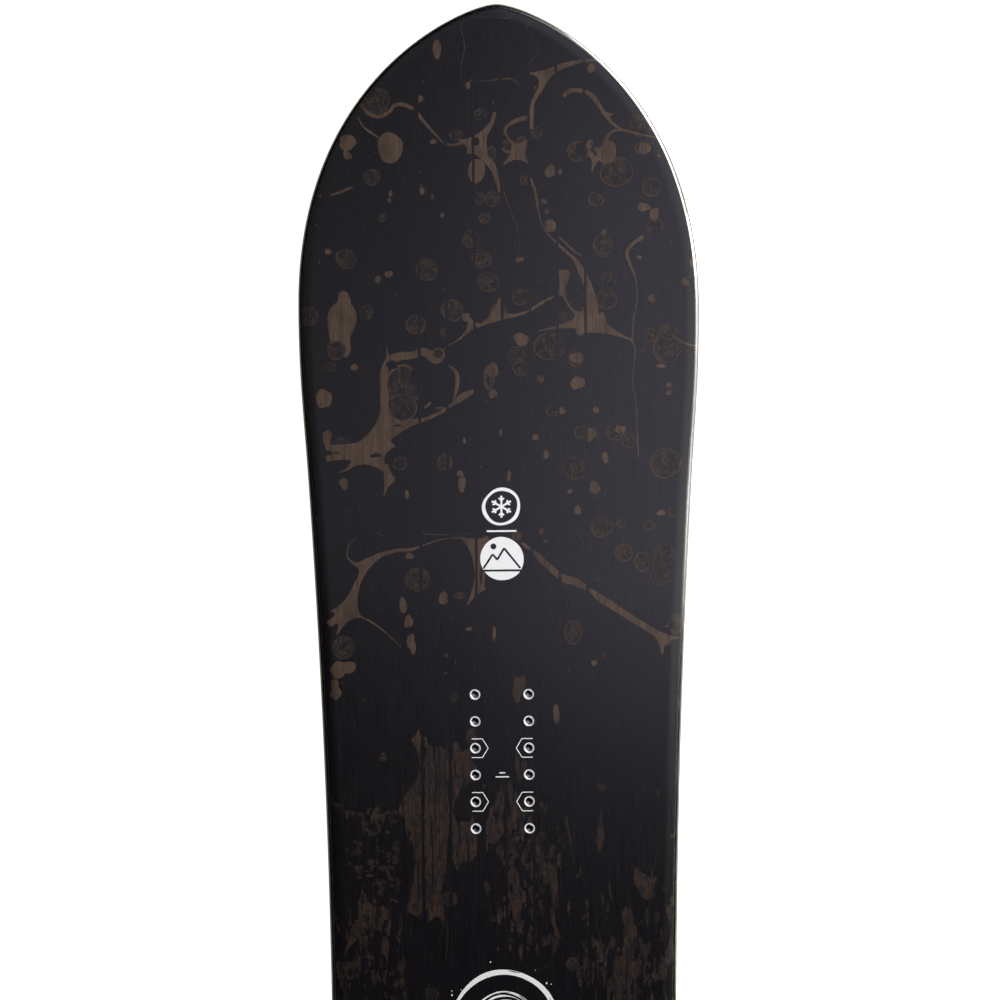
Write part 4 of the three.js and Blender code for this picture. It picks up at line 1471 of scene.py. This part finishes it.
def insert_tree(material):
    """Geometry nodes that stand copies of a mesh on two rectangular packs."""
    tree = bpy.data.node_groups.new("insert_packs", "GeometryNodeTree")
    tree.interface.new_socket("Geometry", in_out="INPUT", socket_type="NodeSocketGeometry")
    tree.interface.new_socket("Geometry", in_out="OUTPUT", socket_type="NodeSocketGeometry")
    for name in ("Column Spacing", "Row Spacing", "Front Centre", "Rear Centre"):
        tree.interface.new_socket(name, in_out="INPUT", socket_type="NodeSocketFloat")
    tree.interface.new_socket("Rows", in_out="INPUT", socket_type="NodeSocketInt")
    new, join = tree.nodes.new, tree.links.new
    given, out = new("NodeGroupInput"), new("NodeGroupOutput")
    gaps = new("ShaderNodeMath")
    gaps.operation = "SUBTRACT"
    join(given.outputs["Rows"], gaps.inputs[0])
    gaps.inputs[1].default_value = 1
    run = new("ShaderNodeMath")
    run.operation = "MULTIPLY"
    join(gaps.outputs[0], run.inputs[0])
    join(given.outputs["Row Spacing"], run.inputs[1])
    grid = new("GeometryNodeMeshGrid")
    grid.inputs["Vertices X"].default_value = 2
    join(given.outputs["Column Spacing"], grid.inputs["Size X"])
    join(run.outputs[0], grid.inputs["Size Y"])
    join(given.outputs["Rows"], grid.inputs["Vertices Y"])
    packs = new("GeometryNodeJoinGeometry")
    for centre in ("Front Centre", "Rear Centre"):
        place = new("ShaderNodeCombineXYZ")
        join(given.outputs[centre], place.inputs["Y"])
        moved = new("GeometryNodeTransform")
        join(grid.outputs["Mesh"], moved.inputs["Geometry"])
        join(place.outputs[0], moved.inputs["Translation"])
        join(moved.outputs[0], packs.inputs[0])
    stand = new("GeometryNodeInstanceOnPoints")
    join(packs.outputs[0], stand.inputs["Points"])
    join(given.outputs["Geometry"], stand.inputs["Instance"])
    real = new("GeometryNodeRealizeInstances")
    join(stand.outputs[0], real.inputs[0])
    paint = new("GeometryNodeSetMaterial")
    paint.inputs["Material"].default_value = material
    join(real.outputs[0], paint.inputs["Geometry"])
    join(paint.outputs[0], out.inputs[0])
    return tree


def make_inserts(packs, nodes):
    look = settings("inserts")
    low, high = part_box(nodes[0])
    material = insert_material(high.z)
    source = link(insert_mesh(low.z / MM, high.z / MM, look), "threaded_inserts")
    modifier = source.modifiers.new("packs", "NODES")
    modifier.node_group = insert_tree(material)
    values = {
        "Column Spacing": look.column_spacing,
        "Row Spacing": look.row_spacing,
        "Front Centre": packs[0][0] * MM,
        "Rear Centre": packs[1][0] * MM,
        "Rows": look.rows,
    }
    for item in modifier.node_group.interface.items_tree:
        if item.name in values:
            modifier[item.identifier] = values[item.name]
    seen = source.evaluated_get(bpy.context.evaluated_depsgraph_get())
    mesh = bpy.data.meshes.new_from_object(seen)
    source.modifiers.clear()
    source.data = mesh
    smooth_by_angle(source, 24)
    finish_piece(source, "insert_steel", *nodes)


def insert_packs():
    """For the front and the rear pack: the middle of its rows, and the length they take, in mm."""
    packs = []
    for name in ("front", "rear"):
        boxes = [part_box(n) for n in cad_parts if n.startswith(f"insert_{name}_")]
        middles = sorted((low.y + high.y) / 2 / MM for low, high in boxes)
        packs.append(((middles[0] + middles[-1]) / 2, middles[-1] - middles[0]))
    return packs


# ---------------------------------------------------------------- frame, edges and base


def frame_profile(shape):
    """The sidewall's and the tip fillers' cross-section: a polished bevel, and a flat inner face.

    Over the ledge a short wall leans in to its head. From there the bevel climbs to the brow, just
    under the lip. Where the frame is thin, the bevel takes no more than a share of its rise.
    """
    foot_height, head, brow, brow_drop = 0.3, LEDGE + 0.25, BEVEL_INSET - 0.3, 0.1
    bevel_share, lean_share = 0.8, 0.6

    def profile(y):
        inner = float(shape.core_inset(y)) - BOND
        top = lambda inset: float(shape.core_top(inset, y))
        foot = CORE_BOTTOM + foot_height
        lip = top(BEVEL_INSET)
        rise = lip - foot
        fall = min(brow_drop + BEVEL_SLOPE * (brow - head), bevel_share * rise)
        return [
            (LEDGE, CORE_BOTTOM),
            (LEDGE, foot),
            (LEDGE + 0.1, foot + lean_share * (rise - fall)),
            (head, lip - fall),
            (brow, lip - brow_drop),
            (BEVEL_INSET, lip),
            (5.0, top(5.0)),
            (8.0, top(8.0)),
            (inner, top(inner)),
            (inner, CORE_BOTTOM),
        ]

    return profile


def make_frame(shape):
    material = black_plastic_material()
    profile = frame_profile(shape)
    front, rear = shape.frame_cuts
    gap = 0.3
    for side, name in ((-1, "left"), (1, "right")):
        path = rail_path(shape, rear, front, side)
        wall = swept_piece(f"bevelled_sidewall_{name}", shape, profile, path, material)
        finish_piece(wall, "sidewall", f"sidewall_{name}")
    nose = [rail_path(shape, front + gap, shape.tip, side) for side in (-1, 1)]
    tail = [rail_path(shape, -shape.tip, rear - gap, side) for side in (1, -1)]
    around_nose = [*nose[0], *nose[1][::-1][1:]]
    around_tail = [*tail[0][::-1], *tail[1][1:]]
    for name, path in (("nose_filler", around_nose), ("tail_filler", around_tail)):
        filler = swept_piece(f"bevelled_{name}", shape, profile, path, material)
        finish_piece(filler, "sidewall", name)


def make_edges(shape):
    """The steel edge: a square bar with a ground outer corner, and its flange."""
    flange_low = BASE_THICKNESS + BOND
    flange_high = flange_low + FLANGE_THICKNESS
    ease, half_joint = 0.12, 0.15
    loop_points = [
        (0, ease),
        (0, EDGE_HEIGHT - ease),
        (ease, EDGE_HEIGHT),
        (EDGE_WIDTH, EDGE_HEIGHT),
        (EDGE_WIDTH, flange_high),
        (FLANGE_REACH, flange_high),
        (FLANGE_REACH, flange_low),
        (EDGE_WIDTH, flange_low),
        (EDGE_WIDTH, 0),
        (ease, 0),
    ]
    foil = [
        (LEDGE, EDGE_HEIGHT + BOND),
        (LEDGE, RUBBER_TOP),
        (RUBBER_REACH, RUBBER_TOP),
        (RUBBER_REACH, EDGE_HEIGHT + BOND),
    ]
    steel, rubber = steel_edge_material(), rubber_material()
    for side, name in ((-1, "left"), (1, "right")):
        path = rail_path(shape, -shape.tip, shape.tip, side)
        path[0, 0] = path[-1, 0] = side * half_joint
        edge = swept_piece(f"ground_edge_{name}", shape, lambda y: loop_points, path, steel)
        finish_piece(edge, "edge_steel", f"steel_edge_{name}")
        strip = swept_piece(f"bonding_foil_{name}", shape, lambda y: foil, path, rubber)
        finish_piece(strip, "rubber", f"edge_rubber_{name}")


def make_base(shape):
    insets = [EDGE_WIDTH + BOND, EDGE_WIDTH + BOND + 0.15, INNER_LINE]
    ease = lambda inset, y: 0.1 if inset < insets[1] else 0.0
    base = sheet_piece("ground_base", shape, insets, ease, lambda i, y: BASE_THICKNESS, base_material())
    finish_piece(base, "base", "base")


def make_laminates(shape):
    glass = laminate_material()
    insets = [BEVEL_INSET - 0.05, 3.9, 5.5, 7.5, ROLL_INSET, INNER_LINE]
    upper = sheet_piece("upper_glass_laminate", shape, insets,
                        lambda i, y: shape.core_top(max(i, BEVEL_INSET), y) + BOND,
                        lambda i, y: shape.laminate_top(max(i, BEVEL_INSET), y), glass)
    holes = insert_cutter(insert_packs(), LAMINATE_HOLE)
    cut = upper.modifiers.new("insert_holes", "BOOLEAN")
    cut.object, cut.solver = holes, "EXACT"
    seen = upper.evaluated_get(bpy.context.evaluated_depsgraph_get())
    upper.data = bpy.data.meshes.new_from_object(seen)
    upper.modifiers.clear()
    bpy.data.objects.remove(holes)
    smooth_by_angle(upper)
    finish_piece(upper, "laminate", "upper_laminate")
    lower_insets = [0.3, RUBBER_REACH + BOND, RUBBER_REACH + BOND + 0.3, INNER_LINE]
    step = lambda i, y: RUBBER_TOP + BOND if i < lower_insets[2] else BASE_THICKNESS + BOND
    lower_top = lambda i, y: LOWER_LAMINATE_TOP
    lower = sheet_piece("lower_glass_laminate", shape, lower_insets, step, lower_top, glass)
    finish_piece(lower, "laminate", "lower_laminate")


def insert_cutter(packs, radius):
    """Pegs through every insert's place, to cut holes with."""
    bm = bmesh.new()
    radius, depth, middle = radius * MM, 0.03, 0.01
    for x, y in TopsheetPlan.insert_places(packs):
        made = bmesh.ops.create_cone(
            bm, cap_ends=True, segments=24, radius1=radius, radius2=radius, depth=depth
        )
        bmesh.ops.translate(bm, verts=made["verts"], vec=(x * MM, y * MM, middle))
    mesh = bpy.data.meshes.new("insert_pegs")
    bm.to_mesh(mesh)
    bm.free()
    return link(mesh, "insert_pegs")


def paint_core():
    """The core's strips keep their CAD shapes and take wood finishes."""
    pale = wood_material("pale_softwood", (0.6, 0.44, 0.25), (0.42, 0.28, 0.14))
    dark = wood_material("insert_hardwood", (0.4, 0.25, 0.12), (0.25, 0.14, 0.065))
    for name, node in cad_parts.items():
        if name.startswith("core_"):
            for slot in node.material_slots:
                slot.material = dark if "stringer" in name else pale


# ---------------------------------------------------------------- stage


def area_light(name, place, target, size, power, shown=False):
    data = bpy.data.lights.new(name, "AREA")
    data.shape = "RECTANGLE"
    data.size, data.size_y = size
    data.energy = power
    lamp = bpy.data.objects.new(name, data)
    bpy.context.scene.collection.objects.link(lamp)
    lamp.location = place
    lamp.rotation_euler = (Vector(target) - Vector(place)).to_track_quat("-Z", "Y").to_euler()
    lamp.visible_camera = shown
    return lamp


def make_camera():
    """Straight down over the nose half, from far off."""
    width_seen, height_over, turn = 0.7463, 16.0, math.radians(-0.446)
    aside, behind_tip = -0.0002, 0.369
    data = bpy.data.cameras.new("camera")
    data.sensor_width = 36
    data.lens = data.sensor_width * height_over / width_seen
    data.clip_start, data.clip_end = 1, 100
    camera = bpy.data.objects.new("camera", data)
    bpy.context.scene.collection.objects.link(camera)
    camera.location = (aside, CAD_BOX[1][1] - behind_tip, height_over)
    camera.rotation_euler = (0, 0, turn)
    bpy.context.scene.camera = camera


def make_floor():
    bm = bmesh.new()
    reach = 60
    corners = [(-reach, -reach), (reach, -reach), (reach, reach), (-reach, reach)]
    bm.faces.new([bm.verts.new((x, y, -0.0005)) for x, y in corners])
    mesh = bpy.data.meshes.new("floor")
    bm.to_mesh(mesh)
    bm.free()
    floor = link(mesh, "floor")
    n = Nodes("pale_floor", 0.9, specular=0.0)
    n.colour((0.8, 0.8, 0.8))
    n.shader.inputs["Emission Color"].default_value = (1, 1, 1, 1)
    n.shader.inputs["Emission Strength"].default_value = 0.93
    mesh.materials.append(n.material)
    floor.visible_glossy = False
    floor.visible_diffuse = False


def make_world():
    scene = bpy.context.scene
    world = bpy.data.worlds.new("studio")
    world.use_nodes = True
    world.node_tree.nodes["Background"].inputs["Color"].default_value = (0.95, 0.95, 0.95, 1)
    world.node_tree.nodes["Background"].inputs["Strength"].default_value = 1.0
    world.cycles_visibility.glossy = False
    world.cycles_visibility.diffuse = False
    scene.world = world
    scene.view_settings.view_transform = "Standard"


# ---------------------------------------------------------------- operators


class SNOWBOARD_OT_stage(bpy.types.Operator):
    """Camera, floor, world and lights"""

    bl_idname = "snowboard.stage"
    bl_label = "Stage"

    def execute(self, context):
        look = settings("stage")
        make_camera()
        make_floor()
        make_world()
        area_light("side_card", (0.95, 1.04, 0.42), (0.1, 0.7, 0.1), (1.32, 0.84), look.card_power)
        area_light("rail_card", (1.5, 0.5, 0.36), (0, 0.5, 0), (0.42, 0.7), look.rail_power)
        area_light("arch_card", (0.6, 0.9, 0.7), (0.06, 0.75, 0.03), (0.34, 0.75), look.arch_power)
        area_light("left_card", (-0.41, 0.55, 0.72), (-0.13, 0.55, 0), (0.35, 0.5), look.left_power)
        area_light("edge_card", (0.47, 0.38, 0.64), (0.14, 0.38, 0), (0.34, 0.34), look.edge_power)
        veil = area_light("veil", (0, 0.45, 0.8), (0, 0.45, 0), (0.5, 0.2), look.veil_power)
        area_light("fill", (-1.0, -1.5, 0.7), (0, 0, 0), (1.2, 0.9), look.fill_power)
        spot = area_light("spot", (0.19, 0.39, 0.75), (0.19, 0.39, 0), (0.32, 0.3), look.spot_power)
        for lamp in (veil, spot):
            lamp.data.color = (0.96, 0.93, 1.14)
        return {"FINISHED"}


class SNOWBOARD_OT_topsheet(bpy.types.Operator):
    """Lacquered veneer topsheet with its marbling and printed marks"""

    bl_idname = "snowboard.topsheet"
    bl_label = "Topsheet"

    def execute(self, context):
        make_topsheet(Shape(), insert_packs())
        return {"FINISHED"}


class SNOWBOARD_OT_inserts(bpy.types.Operator):
    """Threaded inserts of both packs"""

    bl_idname = "snowboard.inserts"
    bl_label = "Inserts"

    def execute(self, context):
        make_inserts(insert_packs(), sorted(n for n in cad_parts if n.startswith("insert_")))
        return {"FINISHED"}


class SNOWBOARD_OT_frame(bpy.types.Operator):
    """Sidewalls and tip fillers"""

    bl_idname = "snowboard.frame"
    bl_label = "Sidewalls and tip fillers"

    def execute(self, context):
        make_frame(Shape())
        return {"FINISHED"}


class SNOWBOARD_OT_edges(bpy.types.Operator):
    """Steel edges and the foil over them"""

    bl_idname = "snowboard.edges"
    bl_label = "Edges"

    def execute(self, context):
        make_edges(Shape())
        return {"FINISHED"}


class SNOWBOARD_OT_base(bpy.types.Operator):
    """Running base"""

    bl_idname = "snowboard.base"
    bl_label = "Base"

    def execute(self, context):
        make_base(Shape())
        return {"FINISHED"}


class SNOWBOARD_OT_core(bpy.types.Operator):
    """Glass laminates and the wood core between them"""

    bl_idname = "snowboard.core"
    bl_label = "Laminates and core"

    def execute(self, context):
        make_laminates(Shape())
        paint_core()
        return {"FINISHED"}


OPERATORS = (
    SNOWBOARD_OT_stage,
    SNOWBOARD_OT_topsheet,
    SNOWBOARD_OT_inserts,
    SNOWBOARD_OT_frame,
    SNOWBOARD_OT_edges,
    SNOWBOARD_OT_base,
    SNOWBOARD_OT_core,
)


class SNOWBOARD_PT_panel(bpy.types.Panel):
    """Sizes, colours and lights, and a button for each group of pieces"""

    bl_idname = "SNOWBOARD_PT_panel"
    bl_label = "Snowboard"
    bl_space_type = "VIEW_3D"
    bl_region_type = "UI"
    bl_category = "Snowboard"

    def draw(self, context):
        for group, kind in SETTINGS.items():
            box = self.layout.box()
            box.label(text=group.capitalize())
            for name in kind.__annotations__:
                box.prop(settings(group), name)
        for operator in OPERATORS:
            self.layout.operator(operator.bl_idname)


CLASSES = (*SETTINGS.values(), *OPERATORS, SNOWBOARD_PT_panel)


def register():
    for cls in CLASSES:
        bpy.utils.register_class(cls)
    for group, kind in SETTINGS.items():
        setattr(bpy.types.Scene, f"snowboard_{group}", PointerProperty(type=kind))


def unregister():
    for group in SETTINGS:
        delattr(bpy.types.Scene, f"snowboard_{group}")
    for cls in reversed(CLASSES):
        bpy.utils.unregister_class(cls)


def main():
    register()
    bpy.ops.snowboard.stage()
    bpy.ops.snowboard.topsheet()
    bpy.ops.snowboard.inserts()
    bpy.ops.snowboard.frame()
    bpy.ops.snowboard.edges()
    bpy.ops.snowboard.base()
    bpy.ops.snowboard.core()


if __name__ == "__main__":
    main()
